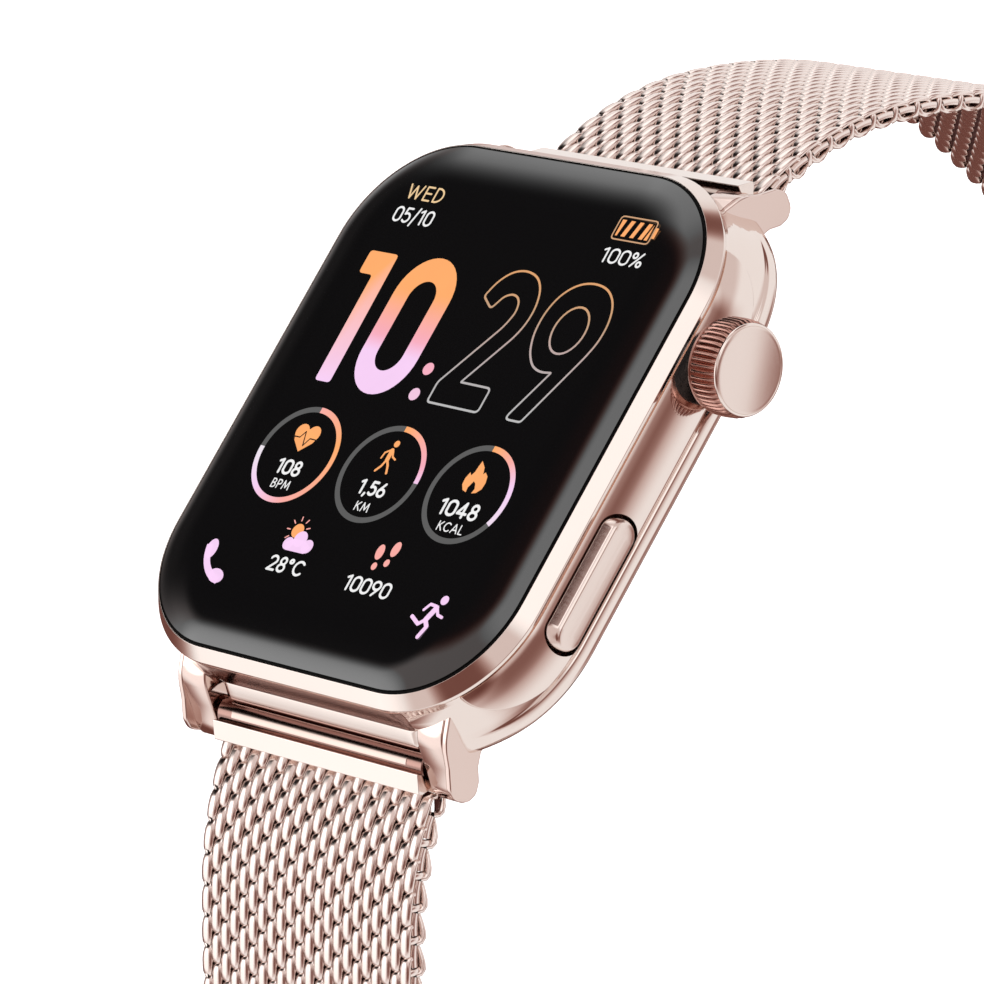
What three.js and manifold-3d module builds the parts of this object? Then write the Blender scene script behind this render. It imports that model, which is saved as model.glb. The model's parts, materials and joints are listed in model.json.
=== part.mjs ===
// A rectangular smartwatch on a woven metal band, fastened as a closed loop.
// Units are millimetres. The origin is the centre of the rear window's flat outer face,
// +X points to the crown, +Y to 12 o'clock and +Z out of the display.
import * as THREE from 'three';
import { mergeVertices } from 'three/addons/utils/BufferGeometryUtils.js';
import Module from 'manifold-3d';

const wasm = await Module();
wasm.setup();

// Driving dimensions of the watch head: widths run along X, lengths along Y.
const glass = { width: 35.1, length: 40.94, corner: 8.3, top: 11.35, bottom: 9.95, edge: 1.0 };
const seal = { width: 36, length: 41.84, corner: 8.74, top: 10.3, band: 0.4 };
const bezel = { width: 37.7, length: 43.5, corner: 9.6, rim: 9.3, bottom: 8.9, ledge: 0.95 };
const shell = { width: 39.8, length: 42.8, corner: 10, top: 8.85, crease: 5.3, lip: 4.5, bottom: 2.7 };
const cavity = { width: 34.6, length: 39.6, corner: 7.6 };
const cover = { width: 35.6, length: 40.2, corner: 8.7, top: 2.4, bottom: 0.4, slope: 2.3 };
const rearWindow = { radius: 9, outer: 0, inner: 1.5 };
const rearBoard = { radius: 8, bottom: 1.7, top: 2.3 };
const contact = { radius: 0.9, x: 3.2, y: -13.6 };
const screw = { x: 12.9, y: 14.9, shank: 0.6, head: 1.05, seat: 1.3, boss: 1.5, web: 1.6 };
const lug = { inner: 11.15, outer: 14.15, hole: 0.5, holeDepth: 1.7, root: 18.6 };
const crown = { y: 9.1, z: 7.3, radius: 3.45, back: 21.1, front: 23.6, cap: 24.1, teeth: 60, tooth: 0.22 };
const button = { y: -8.57, z: 7.23, length: 10.5, width: 3.2, face: 20.6, back: 18.6 };
const buttonSlot = { length: 11.3, width: 4.1, floor: 17.95 };
const stemBore = 1.2;
const strapRoom = 21.3;
const speakerGrille = { ys: [-10.5, -7.5, -4.5], length: 2.2, width: 0.8 };
const microphoneHole = { radius: 0.4, y: 9 };

// Driving dimensions of the band: the spring bars, the two mesh straps and the clasp.
const pivot = { y: 22.8, z: 3.65 };
const bar = { tube: 0.75, bore: 0.5, pin: 0.4, tip: 12.5, end: 10.5 };
const endPiece = { width: 21.6, radius: 1.15, bore: 0.82 };
const lever = { x: 7.4, radius: 0.45, reach: 2.6, travel: 1.5 };
const mesh = { width: 22, thickness: 2, clearance: 0.15 };
const strapStart = { y: 2.2, z: -1.8, heading: 17 };
const strapBottom = -83.5 - pivot.z;
const strapEnd = { upper: 12.2, lower: 5.6 };
const clasp = { back: -17, front: 7, half: 12.05, cheek: 0.8, floor: 0.7, depth: 3.6, prong: 3.6 };
const flap = { leaf: 0.8, lip: 1.8, knuckle: 1.0, clearance: 0.3 };
const lockFlapEnd = -7.9;
const hingePin = 0.45;
const claspPins = { lock: { y: -15.6, z: -2.6 }, cover: { y: -6.4, z: -2.6 } };
const catchPlate = { half: 10.8, clamp: 1.5, reach: 3.6, bar: 0.5, barBack: 2.9, arm: 1.4 };
const roundSteps = 12;
const arcStep = 7;
const gap = 0.05;

const metal = (color, roughness) => new THREE.MeshStandardMaterial({ color, roughness, metalness: 1 });
const plain = (color, roughness) => new THREE.MeshStandardMaterial({ color, roughness, metalness: 0 });
const finishes = {
  roseGold: metal(0xd9ac9c, 0.12),
  roseMesh: metal(0xcf9f90, 0.22),
  steel: metal(0xb8b8ba, 0.3),
  blackGlass: plain(0x050506, 0.04),
  rubber: plain(0x111112, 0.6),
  blackPlastic: plain(0x1b1b1d, 0.4),
  board: plain(0x184030, 0.5),
  battery: plain(0x9a9c9e, 0.35),
  contact: metal(0xd8b25a, 0.25),
};

// ---- solids: closed meshes joined and cut ----

function solid(geometry) {
  geometry.deleteAttribute('normal');
  geometry.deleteAttribute('uv');
  const merged = mergeVertices(geometry, 1e-5);
  const triVerts = Uint32Array.from(merged.index.array);
  return new wasm.Manifold(new wasm.Mesh({ numProp: 3, vertProperties: merged.attributes.position.array, triVerts }));
}

function geometryOf(body) {
  const { vertProperties, triVerts } = body.getMesh();
  const geometry = new THREE.BufferGeometry();
  geometry.setAttribute('position', new THREE.BufferAttribute(vertProperties, 3));
  geometry.setIndex(new THREE.BufferAttribute(triVerts, 1));
  geometry.computeVertexNormals();
  return geometry;
}

const join = (bodies) => bodies.reduce((whole, next) => whole.add(next));

function addPart(group, name, body, material) {
  const part = new THREE.Mesh(geometryOf(body), material);
  part.name = name;
  group.add(part);
}

// ---- basic shapes ----

function roundedRectangle(width, length, corner, x = 0, y = 0) {
  const [a, b] = [width / 2 - corner, length / 2 - corner];
  const quarter = Math.PI / 2;
  const shape = new THREE.Shape();
  shape.moveTo(x + width / 2, y - b);
  shape.absarc(x + a, y + b, corner, 0, quarter);
  shape.absarc(x - a, y + b, corner, quarter, 2 * quarter);
  shape.absarc(x - a, y - b, corner, 2 * quarter, 3 * quarter);
  shape.absarc(x + a, y - b, corner, 3 * quarter, 4 * quarter);
  return shape;
}

// A plate of the given outline from height low to high; edge rounds its rims inward.
function plate(shape, low, high, edge = 0, curveSegments = 5) {
  const bevel = { bevelSize: edge, bevelThickness: edge, bevelOffset: -edge, bevelSegments: 2 };
  const depth = high - low - 2 * edge;
  const geometry = new THREE.ExtrudeGeometry(shape, { depth, curveSegments, bevelEnabled: edge > 0, ...bevel });
  return solid(geometry.translate(0, 0, low + edge));
}

function slab(size, low, high, edge = 0) {
  return plate(roundedRectangle(size.width, size.length, size.corner), low, high, edge);
}

const grown = (size, by) => ({
  width: size.width + 2 * by,
  length: size.length + 2 * by,
  corner: size.corner + by,
});

function box(xs, ys, zs) {
  const geometry = new THREE.BoxGeometry(xs[1] - xs[0], ys[1] - ys[0], zs[1] - zs[0]);
  return solid(geometry.translate((xs[0] + xs[1]) / 2, (ys[0] + ys[1]) / 2, (zs[0] + zs[1]) / 2));
}

function post(radius, low, high, x = 0, y = 0, steps = roundSteps) {
  const geometry = new THREE.CylinderGeometry(radius, radius, high - low, steps).rotateX(Math.PI / 2);
  return solid(geometry.translate(x, y, (low + high) / 2));
}

// A round bar along X.
function rod(radius, left, right, y = 0, z = 0, steps = roundSteps) {
  const geometry = new THREE.CylinderGeometry(radius, radius, right - left, steps).rotateZ(Math.PI / 2);
  return solid(geometry.translate((left + right) / 2, y, z));
}

const tube = (outer, inner, left, right) => rod(outer, left, right).subtract(rod(inner, left - 1, right + 1));

// A profile drawn in the YZ plane, pulled along X.
function pulledAlongX(shape, left, right, curveSegments = 6) {
  const geometry = new THREE.ExtrudeGeometry(shape, { depth: right - left, bevelEnabled: false, curveSegments });
  const toX = new THREE.Matrix4().makeBasis(
    new THREE.Vector3(0, 1, 0), new THREE.Vector3(0, 0, 1), new THREE.Vector3(1, 0, 0));
  return solid(geometry.applyMatrix4(toX).translate(left, 0, 0));
}

// A slot-shaped block along X, its long side along Y.
function stadium(length, width, left, right) {
  const shape = new THREE.Shape();
  const reach = (length - width) / 2;
  shape.absarc(reach, 0, width / 2, -Math.PI / 2, Math.PI / 2);
  shape.absarc(-reach, 0, width / 2, Math.PI / 2, 3 * Math.PI / 2);
  return pulledAlongX(shape, left, right, 8);
}

const mirrored = (make) => [-1, 1].flatMap((sx) => [-1, 1].map((sy) => make(sx, sy)));

// ---- watch head: glass, bezel and case ----

function makeGlass() {
  const skirt = slab(glass, glass.bottom, glass.top - glass.edge);
  const dome = slab(glass, glass.top - 2.05 * glass.edge, glass.top, glass.edge);
  return join([skirt, dome.intersect(slab(grown(glass, 1), glass.bottom, glass.top + 1))]);
}

function makeSeal() {
  const opening = grown(seal, -seal.band);
  const ring = slab(seal, glass.bottom, seal.top);
  return ring.subtract(slab(opening, glass.bottom - 1, seal.top + 1));
}

// The frame round the display: a flat chamfer falls from the seal to the outer rim.
function makeBezel() {
  const chamfer = seal.top - bezel.rim;
  const run = (bezel.width - seal.width) / 2;
  const bevel = { bevelSize: run, bevelThickness: chamfer, bevelOffset: -run, bevelSegments: 1 };
  const outline = roundedRectangle(bezel.width, bezel.length, bezel.corner);
  const block = new THREE.ExtrudeGeometry(outline, { depth: 1, curveSegments: 5, ...bevel });
  const body = solid(block.translate(0, 0, bezel.rim - 1));
  const below = slab(grown(bezel, 1), bezel.rim - 3, bezel.bottom);
  const seat = slab(grown(seal, gap), glass.bottom - gap, seal.top + 1);
  const opening = slab(grown(seal, -bezel.ledge), bezel.bottom - 1, seal.top + 1);
  return body.subtract(join([below, seat, opening]));
}

// One lug's side outline: a tongue that slopes down from the case wall to a rounded tip.
function lugOutline(side) {
  const shape = new THREE.Shape();
  shape.moveTo(side * lug.root, 7.9);
  shape.lineTo(side * 21.0, 7.6);
  shape.quadraticCurveTo(side * 23.3, 5.8, side * 24.8, 3.7);
  shape.quadraticCurveTo(side * 25.0, 2.3, side * 23.8, 2.0);
  shape.quadraticCurveTo(side * 22.9, 1.9, side * 22.1, 2.8);
  shape.quadraticCurveTo(side * 21.5, 3.4, side * 20.4, 3.5);
  shape.lineTo(side * lug.root, 3.5);
  return shape;
}

function makeLug(sx, sy) {
  const [left, right] = [sx * lug.inner, sx * lug.outer].sort((a, b) => a - b);
  const bore = [sx * (lug.inner - 1), sx * (lug.inner + lug.holeDepth)].sort((a, b) => a - b);
  const hole = rod(lug.hole, bore[0], bore[1], sy * pivot.y, pivot.z);
  return pulledAlongX(lugOutline(sy), left, right).subtract(hole);
}

function makeShell() {
  const wall = slab(shell, shell.crease - 0.9, shell.top + 0.6, 1.5);
  const top = slab(grown(bezel, -0.55), shell.crease, shell.top);
  const lip = slab(grown(shell, 0.2), shell.lip - 0.4, shell.lip + 0.4, 0.3);
  const foot = slab(grown(shell, -1.6), shell.bottom, shell.lip);
  const above = slab(grown(shell, 2), shell.top, shell.top + 2);
  return join([wall, top, lip, foot]).subtract(above);
}

// Flat end walls between the lugs leave room for the strap ends to turn.
function strapPocket(side) {
  const reach = [side * strapRoom, side * 26].sort((a, b) => a - b);
  return box([-lug.inner, lug.inner], reach, [0, shell.top - 0.6]);
}

function sideOpenings() {
  const [inside, outside] = [cavity.width / 2 - 1.3, shell.width / 2 + 2];
  const crownBore = rod(stemBore, inside, outside, crown.y, crown.z);
  const slot = stadium(buttonSlot.length, buttonSlot.width, buttonSlot.floor, outside);
  const plungerBore = rod(stemBore - gap, inside, buttonSlot.floor + 1, button.y, button.z);
  const grille = stadium(speakerGrille.length, speakerGrille.width, -outside, -inside);
  const speakerSlots = speakerGrille.ys.map((y) => grille.translate(0, y, button.z));
  const microphone = rod(microphoneHole.radius, -outside, -inside, microphoneHole.y, button.z, 8);
  return join([crownBore, slot.translate(0, button.y, button.z), plungerBore, ...speakerSlots, microphone]);
}

function makeMidCase() {
  const hollow = slab(cavity, shell.bottom - 1, shell.top + 1);
  const body = join([makeShell().subtract(strapPocket(1)).subtract(strapPocket(-1)), ...mirrored(makeLug)]);
  const boss = (sx, sy) => join([0, screw.web].map((out) => (
    post(screw.boss, shell.bottom, shell.bottom + 3, sx * (screw.x + out), sy * (screw.y + out)))));
  const thread = (sx, sy) => post(screw.shank + gap, 0, shell.bottom + 2.4, sx * screw.x, sy * screw.y);
  const walled = join([body.subtract(hollow), ...mirrored(boss)]);
  return walled.subtract(join(mirrored(thread))).subtract(sideOpenings());
}

// The rear cover is a dish whose sides slope in towards the wrist.
function makeRearCover() {
  const bevel = { bevelSize: cover.slope, bevelThickness: cover.top - cover.bottom, bevelOffset: -cover.slope };
  const outline = roundedRectangle(cover.width, cover.length, cover.corner);
  const block = new THREE.ExtrudeGeometry(outline, { depth: 1, curveSegments: 5, bevelSegments: 1, ...bevel });
  const above = slab(grown(cover, 1), cover.top, cover.top + 4);
  const dish = solid(block.translate(0, 0, cover.top)).subtract(above);
  const recess = post(rearBoard.radius + 0.4, rearBoard.bottom - gap, cover.top + 1, 0, 0, 32);
  const windowHole = post(rearWindow.radius + gap, -1, rearWindow.inner + gap, 0, 0, 32);
  const pinHole = (side) => post(contact.radius + gap, -1, 4, side * contact.x, contact.y);
  const screwHole = (sx, sy) => join([
    post(screw.shank + gap, -1, 4, sx * screw.x, sy * screw.y),
    post(screw.head + gap, -1, screw.seat, sx * screw.x, sy * screw.y)]);
  return dish.subtract(join([recess, windowHole, pinHole(-1), pinHole(1), ...mirrored(screwHole)]));
}

function makeRearGasket() {
  const ring = slab(grown(cavity, 0.45), cover.top + gap, shell.bottom - gap);
  const inner = slab(grown(cavity, -0.3), 0, 5);
  const clear = (sx, sy) => post(screw.shank + 0.3, 0, 5, sx * screw.x, sy * screw.y);
  return ring.subtract(inner).subtract(join(mirrored(clear)));
}

function makeScrew() {
  const slot = box([-0.75, 0.75], [-0.15, 0.15], [0, 0.8]);
  return join([post(screw.shank, 1, shell.bottom + 2), post(screw.head, 0.55, 1.2)]).subtract(slot);
}

function addScrews(head) {
  const corners = mirrored((sx, sy) => ({ x: sx * screw.x, y: sy * screw.y }));
  corners.forEach(({ x, y }, index) => {
    addPart(head, `rear_screw_${index + 1}`, makeScrew(), finishes.steel);
    head.children.at(-1).position.set(x, y, 0);
  });
}

function makeRearWindow() {
  const lens = post(rearWindow.radius - 1.2, rearWindow.outer, 1, 0, 0, 32);
  return join([post(rearWindow.radius, cover.bottom, rearWindow.inner, 0, 0, 32), lens]);
}

// ---- what the case holds ----

function makeInnerFrame() {
  const sheet = slab(grown(cavity, -0.4), 7.4, 8.2);
  const window = slab({ width: 25, length: 15, corner: 2 }, 7, 9);
  const notches = [crown.y, button.y].map((y) => box([12.3, 18], [y - 2.4, y + 2.4], [7, 9]));
  return sheet.subtract(join([...notches, window.translate(0, -9.5, 0), window.translate(0, 9.5, 0)]));
}

function makeMainBoard() {
  const sheet = plate(roundedRectangle(26, 17, 3, -2.5, 9.5), 6.3, 7.1);
  const chip = (x, y, size) => box([x, x + size], [y, y + size], [5.4, 6.4]);
  return join([sheet, chip(-12, 4, 6), chip(-4, 10, 4.5), chip(3, 4, 5)]);
}

function fillHead(head) {
  const display = slab({ width: 33.4, length: 39.2, corner: 7.3 }, 8.9, glass.bottom - gap);
  addPart(head, 'display_panel', display, finishes.blackPlastic);
  addPart(head, 'inner_frame', makeInnerFrame(), finishes.blackPlastic);
  addPart(head, 'main_board', makeMainBoard(), finishes.board);
  addPart(head, 'battery', plate(roundedRectangle(21, 16.5, 1.5, -0.3, -9), 3.2, 7.0), finishes.battery);
  addPart(head, 'vibration_motor', post(4, 2.9, 5.3, -9.2, 9.9, 24), finishes.steel);
  addPart(head, 'speaker', plate(roundedRectangle(3, 11, 0.8, -15.4, -7.5), 4.2, 7.2), finishes.blackPlastic);
  addPart(head, 'microphone', box([-16.9, -15.7], [7.6, 10.4], [6.4, 7.3]), finishes.steel);
  addPart(head, 'sensor_board', post(rearBoard.radius, rearBoard.bottom, rearBoard.top, 0, 0, 32), finishes.board);
  addPart(head, 'crown_switch', box([10.7, 12.5], [crown.y - 1.6, crown.y + 1.6], [5.8, 7.3]), finishes.steel);
  addPart(head, 'button_switch', box([11.2, 13], [button.y - 1.6, button.y + 1.6], [5.8, 7.3]), finishes.steel);
}

function makeHead() {
  const head = new THREE.Group();
  addPart(head, 'cover_glass', makeGlass(), finishes.blackGlass);
  addPart(head, 'glass_seal', makeSeal(), finishes.rubber);
  addPart(head, 'bezel', makeBezel(), finishes.roseGold);
  addPart(head, 'mid_case', makeMidCase(), finishes.roseGold);
  addPart(head, 'rear_cover', makeRearCover(), finishes.blackPlastic);
  addPart(head, 'rear_gasket', makeRearGasket(), finishes.rubber);
  addScrews(head);
  addPart(head, 'sensor_window', makeRearWindow(), finishes.blackGlass);
  for (const [name, side] of [['charge_contact_left', -1], ['charge_contact_right', 1]]) {
    addPart(head, name, post(contact.radius, 0.3, 2.6, side * contact.x, contact.y), finishes.contact);
  }
  fillHead(head);
  return head;
}

// ---- crown: a knurled knob that turns and presses ----

function makeKnob() {
  const shape = new THREE.Shape();
  const points = 2 * crown.teeth;
  for (let step = 0; step < points; step += 1) {
    const radius = crown.radius - (step % 2) * crown.tooth;
    const turn = (2 * Math.PI * step) / points;
    shape[step ? 'lineTo' : 'moveTo'](radius * Math.cos(turn), radius * Math.sin(turn));
  }
  const seat = rod(2.75, crown.front - 0.6, crown.front + 1, 0, 0, 32);
  const bore = rod(0.78, crown.back - 1, crown.back + 1.4);
  return pulledAlongX(shape, crown.back, crown.front).subtract(seat).subtract(bore);
}

function makeCrown() {
  const group = new THREE.Group();
  group.position.set(0, crown.y, crown.z);
  const cap = join([
    rod(2.7, crown.front - 0.55, crown.front, 0, 0, 32),
    rod(2.4, crown.front - 0.1, crown.front + 0.1),
    rod(3.05, crown.front + gap, crown.cap, 0, 0, 32)]);
  const groove = tube(1, 0.5, 18.2, 18.9);
  addPart(group, 'crown_tube', join([tube(1.15, 0.8, 16.9, 20.3), tube(1.5, 0.8, 16.3, 17)]), finishes.steel);
  addPart(group, 'crown_stem', rod(0.72, 14.6, crown.back + 1.35).subtract(groove), finishes.steel);
  addPart(group, 'crown_oring', tube(0.77, 0.53, 18.25, 18.85), finishes.rubber);
  addPart(group, 'crown_encoder_ring', tube(1.4, 0.77, 15, 15.9), finishes.blackPlastic);
  addPart(group, 'crown_knob', makeKnob(), finishes.roseGold);
  addPart(group, 'crown_cap', cap, finishes.roseGold);
  addPart(group, 'crown_plunger', join([rod(0.9, 13.9, 14.5), rod(0.5, 13.2, 14)]), finishes.blackPlastic);
  return group;
}

// ---- side button ----

function makeButton() {
  const group = new THREE.Group();
  group.position.set(0, button.y, button.z);
  const cap = stadium(button.length, button.width, button.back, button.face - 0.3);
  const crest = stadium(button.length - 0.6, button.width - 0.6, button.back, button.face);
  const socket = rod(0.75, button.back - 1, button.back + 0.7);
  addPart(group, 'button_cap', join([cap, crest]).subtract(socket), finishes.roseGold);
  addPart(group, 'button_plunger', rod(0.7, 13.7, button.back + 0.65), finishes.steel);
  addPart(group, 'button_gasket', tube(1.1, 0.74, 17.25, 17.85), finishes.rubber);
  addPart(group, 'button_clip', tube(1.6, 0.74, 16.2, 16.6), finishes.steel);
  return group;
}

// ---- straps: spring bar, end piece and mesh ----

// The wall of the end piece: a tube round the spring bar and a flat bar in front of the mesh.
function endOutline(side) {
  const shape = new THREE.Shape();
  shape.moveTo(side * 0.95, 0.6);
  shape.lineTo(side * 1.2, 1.0);
  shape.lineTo(side * 2.2, 0);
  shape.lineTo(side * 2.1, -0.45);
  shape.lineTo(side * 1.75, -0.75);
  shape.lineTo(side * 1.3, -2.4);
  shape.lineTo(side * 0.1, -1.05);
  return shape;
}

function makeEndPiece(side) {
  const half = endPiece.width / 2;
  const wall = join([rod(endPiece.radius, -half, half, 0, 0, 20), pulledAlongX(endOutline(side), -half, half)]);
  const leverSlot = box([lever.x - 2.3, lever.x + 0.7], [-0.7, 0.7], [-4, 0]);
  return wall.subtract(rod(endPiece.bore, -half - 1, half + 1)).subtract(leverSlot);
}

function addSpringBar(group, label) {
  const slot = box([lever.x - 2.3, lever.x + 0.7], [-0.5, 0.5], [-2, 0]);
  const sleeve = tube(bar.tube, bar.bore, -bar.end, bar.end).subtract(slot);
  const fixedTip = rod(bar.pin, -bar.tip, -8.5);
  const sliding = join([
    rod(bar.pin, lever.x - 0.5, bar.tip),
    post(lever.radius, -lever.reach, 0, lever.x)]);
  const spring = tube(0.42, 0.2, -8.4, lever.x - 0.6 - lever.travel);
  addPart(group, `${label}_bar_sleeve`, sleeve, finishes.steel);
  addPart(group, `${label}_bar_fixed_tip`, fixedTip, finishes.steel);
  addPart(group, `${label}_release_pin`, sliding, finishes.steel);
  addPart(group, `${label}_bar_spring`, spring, finishes.steel);
}

// A chain of tangent arcs: heading is the angle in degrees below the outward direction.
function arcChain(start, arcs) {
  const rad = Math.PI / 180;
  let { y, z, heading } = start;
  const points = [{ y, z, heading }];
  for (const { radius, turn } of arcs) {
    const steps = Math.ceil(turn / arcStep);
    for (let step = 0; step < steps; step += 1) {
      const next = heading + turn / steps;
      y += radius * (Math.sin(next * rad) - Math.sin(heading * rad));
      z -= radius * (Math.cos(heading * rad) - Math.cos(next * rad));
      heading = next;
      points.push({ y, z, heading });
    }
  }
  return points;
}

// A band of even thickness along the chain, then straight along the bottom to its end.
function makeMesh(side, arcs, endY) {
  const chain = arcChain(strapStart, closedBy(arcs));
  const last = chain[chain.length - 1];
  chain.push({ ...last, y: endY });
  const offset = (point, by) => {
    const angle = THREE.MathUtils.degToRad(point.heading);
    return new THREE.Vector2(side * (point.y + by * Math.sin(angle)), point.z + by * Math.cos(angle));
  };
  const half = mesh.thickness / 2;
  const outer = chain.map((point) => offset(point, half));
  const inner = chain.map((point) => offset(point, -half)).reverse();
  return pulledAlongX(new THREE.Shape([...outer, ...inner]), -mesh.width / 2, mesh.width / 2);
}

// The arcs of each strap, down to where the last one rounds into the flat bottom of the loop.
const upperArcs = [
  { radius: 27.5, turn: 29 },
  { radius: 56, turn: 13 },
  { radius: 28.5, turn: 27 },
  { radius: 115, turn: 4 },
  { radius: 150, turn: 6 },
];
const lowerArcs = [
  { radius: 25, turn: 21 },
  { radius: 165, turn: 3 },
  { radius: 27, turn: 49 },
  { radius: 150, turn: 12 },
];

function closedBy(arcs) {
  const { z, heading } = arcChain(strapStart, arcs).at(-1);
  const radius = (z - strapBottom) / (1 + Math.cos(THREE.MathUtils.degToRad(heading)));
  return [...arcs, { radius, turn: 180 - heading }];
}

function makeStrap(label, side, arcs, endY) {
  const group = new THREE.Group();
  group.position.set(0, side * pivot.y, pivot.z);
  addSpringBar(group, label);
  addPart(group, `${label}_end_piece`, makeEndPiece(side), finishes.roseGold);
  addPart(group, `${label}_mesh_strap`, makeMesh(side, arcs, endY), finishes.roseMesh);
  return group;
}

// ---- clasp: a slider on the long strap, with a fold-over cover and a lock flap ----

const pinBore = ({ y, z }) => rod(hingePin + gap, -clasp.half - 2, clasp.half + 2, y, z, 12);

// A channel over the strap, open away from the wrist; two prongs in front take the catch bar.
function makeClaspBody() {
  const wide = clasp.half - clasp.cheek;
  const ceiling = mesh.thickness / 2 + mesh.clearance;
  const top = ceiling + clasp.floor;
  const block = box([-clasp.half, clasp.half], [clasp.back, clasp.front], [-clasp.depth, top]);
  const channel = box([-wide, wide], [clasp.back - 1, clasp.front + 1], [-clasp.depth - 1, ceiling]);
  const prongs = [-1, 1].map((side) => {
    const xs = [side * wide, side * clasp.half].sort((a, b) => a - b);
    return box(xs, [clasp.front - 0.5, clasp.front + clasp.prong], [-1.4, top]);
  });
  const bores = Object.values(claspPins).map(pinBore);
  return join([block.subtract(channel), ...prongs]).subtract(join(bores));
}

// A flap from its hinge knuckle to its free edge, with turned-down side lips.
function makeFlap(hinge, front) {
  const half = clasp.half - clasp.cheek - flap.clearance;
  const bottom = -clasp.depth;
  const knuckle = rod(flap.knuckle, -half, half, hinge.y, hinge.z);
  const leaf = box([-half, half], [hinge.y, front], [bottom, bottom + flap.leaf]);
  const edge = box([-half, half], [front - flap.leaf, front], [bottom, bottom + flap.lip]);
  return join([knuckle, leaf, edge]).subtract(pinBore(hinge));
}

// A plate clamped on the short strap's end, with two arms that hold the catch bar.
function makeCatch(endY) {
  const { half, clamp, reach, bar: radius, barBack, arm } = catchPlate;
  const plateBlock = box([-half, half], [endY - clamp - 0.1, endY - 0.1], [-1.3, 1.3]);
  const arms = [-1, 1].map((side) => {
    const xs = [side * (half - arm), side * half].sort((a, b) => a - b);
    return box(xs, [endY - reach, endY - clamp], [-0.9, 0.9]);
  });
  return join([plateBlock, ...arms]).subtract(rod(radius + gap, -12, 12, endY - barBack, 0, 12));
}

function makeClasp(catchEnd) {
  const group = new THREE.Group();
  group.position.set(0, 0, pivot.z + strapBottom);
  addPart(group, 'clasp_body', makeClaspBody(), finishes.roseGold);
  addPart(group, 'clasp_cover', makeFlap(claspPins.cover, clasp.front - 0.2), finishes.roseGold);
  addPart(group, 'clasp_lock_flap', makeFlap(claspPins.lock, lockFlapEnd), finishes.roseGold);
  for (const name of ['cover', 'lock']) {
    const { y, z } = claspPins[name];
    addPart(group, `clasp_${name}_pin`, rod(hingePin, -clasp.half, clasp.half, y, z, 12), finishes.steel);
  }
  addPart(group, 'catch_plate', makeCatch(catchEnd), finishes.roseGold);
  const barHalf = catchPlate.half - gap;
  const catchBar = rod(catchPlate.bar, -barHalf, barHalf, catchEnd - catchPlate.barBack, 0, 12);
  addPart(group, 'catch_bar', catchBar, finishes.steel);
  return group;
}

// ---- assembly ----

const watch = new THREE.Group();
watch.add(makeHead(), makeCrown(), makeButton());
watch.add(makeStrap('upper', 1, upperArcs, strapEnd.upper - pivot.y));
watch.add(makeStrap('lower', -1, lowerArcs, -strapEnd.lower - pivot.y));
watch.add(makeClasp(strapEnd.upper));

export default watch;
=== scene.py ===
"""Looks for the smartwatch on a mesh band.

Lengths are in millimetres, scaled to metres in the mesh helpers.
"""

import json
import math

import bpy
import numpy as np
from mathutils import Matrix, Vector


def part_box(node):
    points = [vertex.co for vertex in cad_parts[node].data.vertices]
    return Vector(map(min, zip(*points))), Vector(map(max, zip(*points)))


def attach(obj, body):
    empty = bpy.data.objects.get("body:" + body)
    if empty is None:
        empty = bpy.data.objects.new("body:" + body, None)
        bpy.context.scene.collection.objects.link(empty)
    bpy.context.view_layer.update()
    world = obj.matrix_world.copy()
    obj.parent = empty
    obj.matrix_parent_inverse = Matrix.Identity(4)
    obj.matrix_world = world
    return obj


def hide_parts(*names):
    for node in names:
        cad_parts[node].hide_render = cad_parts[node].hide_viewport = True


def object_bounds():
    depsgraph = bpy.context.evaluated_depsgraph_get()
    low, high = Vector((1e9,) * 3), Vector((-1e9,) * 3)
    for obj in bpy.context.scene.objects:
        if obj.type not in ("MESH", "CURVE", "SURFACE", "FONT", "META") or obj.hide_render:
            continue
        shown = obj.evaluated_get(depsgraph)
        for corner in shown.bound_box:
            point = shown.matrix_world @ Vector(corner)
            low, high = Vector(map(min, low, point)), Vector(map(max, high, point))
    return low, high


MM = 0.001
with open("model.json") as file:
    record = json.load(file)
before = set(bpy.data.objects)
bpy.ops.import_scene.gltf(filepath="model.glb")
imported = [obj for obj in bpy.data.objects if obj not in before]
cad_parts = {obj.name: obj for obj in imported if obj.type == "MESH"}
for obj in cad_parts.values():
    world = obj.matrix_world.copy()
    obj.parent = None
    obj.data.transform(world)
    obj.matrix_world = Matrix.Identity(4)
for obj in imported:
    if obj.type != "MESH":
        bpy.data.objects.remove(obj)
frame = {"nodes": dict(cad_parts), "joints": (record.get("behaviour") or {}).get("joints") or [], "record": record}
cad_low, cad_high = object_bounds()


def node_box(node):
    """Lowest and highest corner of a CAD node, in millimetres."""
    low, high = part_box(node)
    return np.array(low) / MM, np.array(high) / MM


# ---- sizes read from the frame ----
SEAL = node_box("glass_seal")[1]
BEZEL = node_box("bezel")[1]
GLASS = node_box("cover_glass")[1]
SEAL_CORNER, BEZEL_CORNER, GLASS_CORNER = 8.74, 9.6, 8.3
BEZEL_RIM = 9.3
CROWN_LOW, CROWN_HIGH = node_box("crown_knob")
BUTTON_LOW, BUTTON_HIGH = node_box("button_cap")
JOINTS = {joint["name"]: joint for joint in frame["joints"]}
PIVOT_Y, PIVOT_Z = (value / MM for value in JOINTS["upper_strap_swing"]["pos_m"][1:])
LUG_INNER, LUG_OUTER = 11.15, 14.15

# ---- camera ----
CAMERA_AZIMUTH, CAMERA_ELEVATION, CAMERA_ROLL = 70.2, 39.94, -48.22
CAMERA_TARGET = Vector((3.85, -2.668, 4.895)) * MM
CAMERA_DISTANCE, CAMERA_LENS = 450.8 * MM, 236.9


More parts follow.
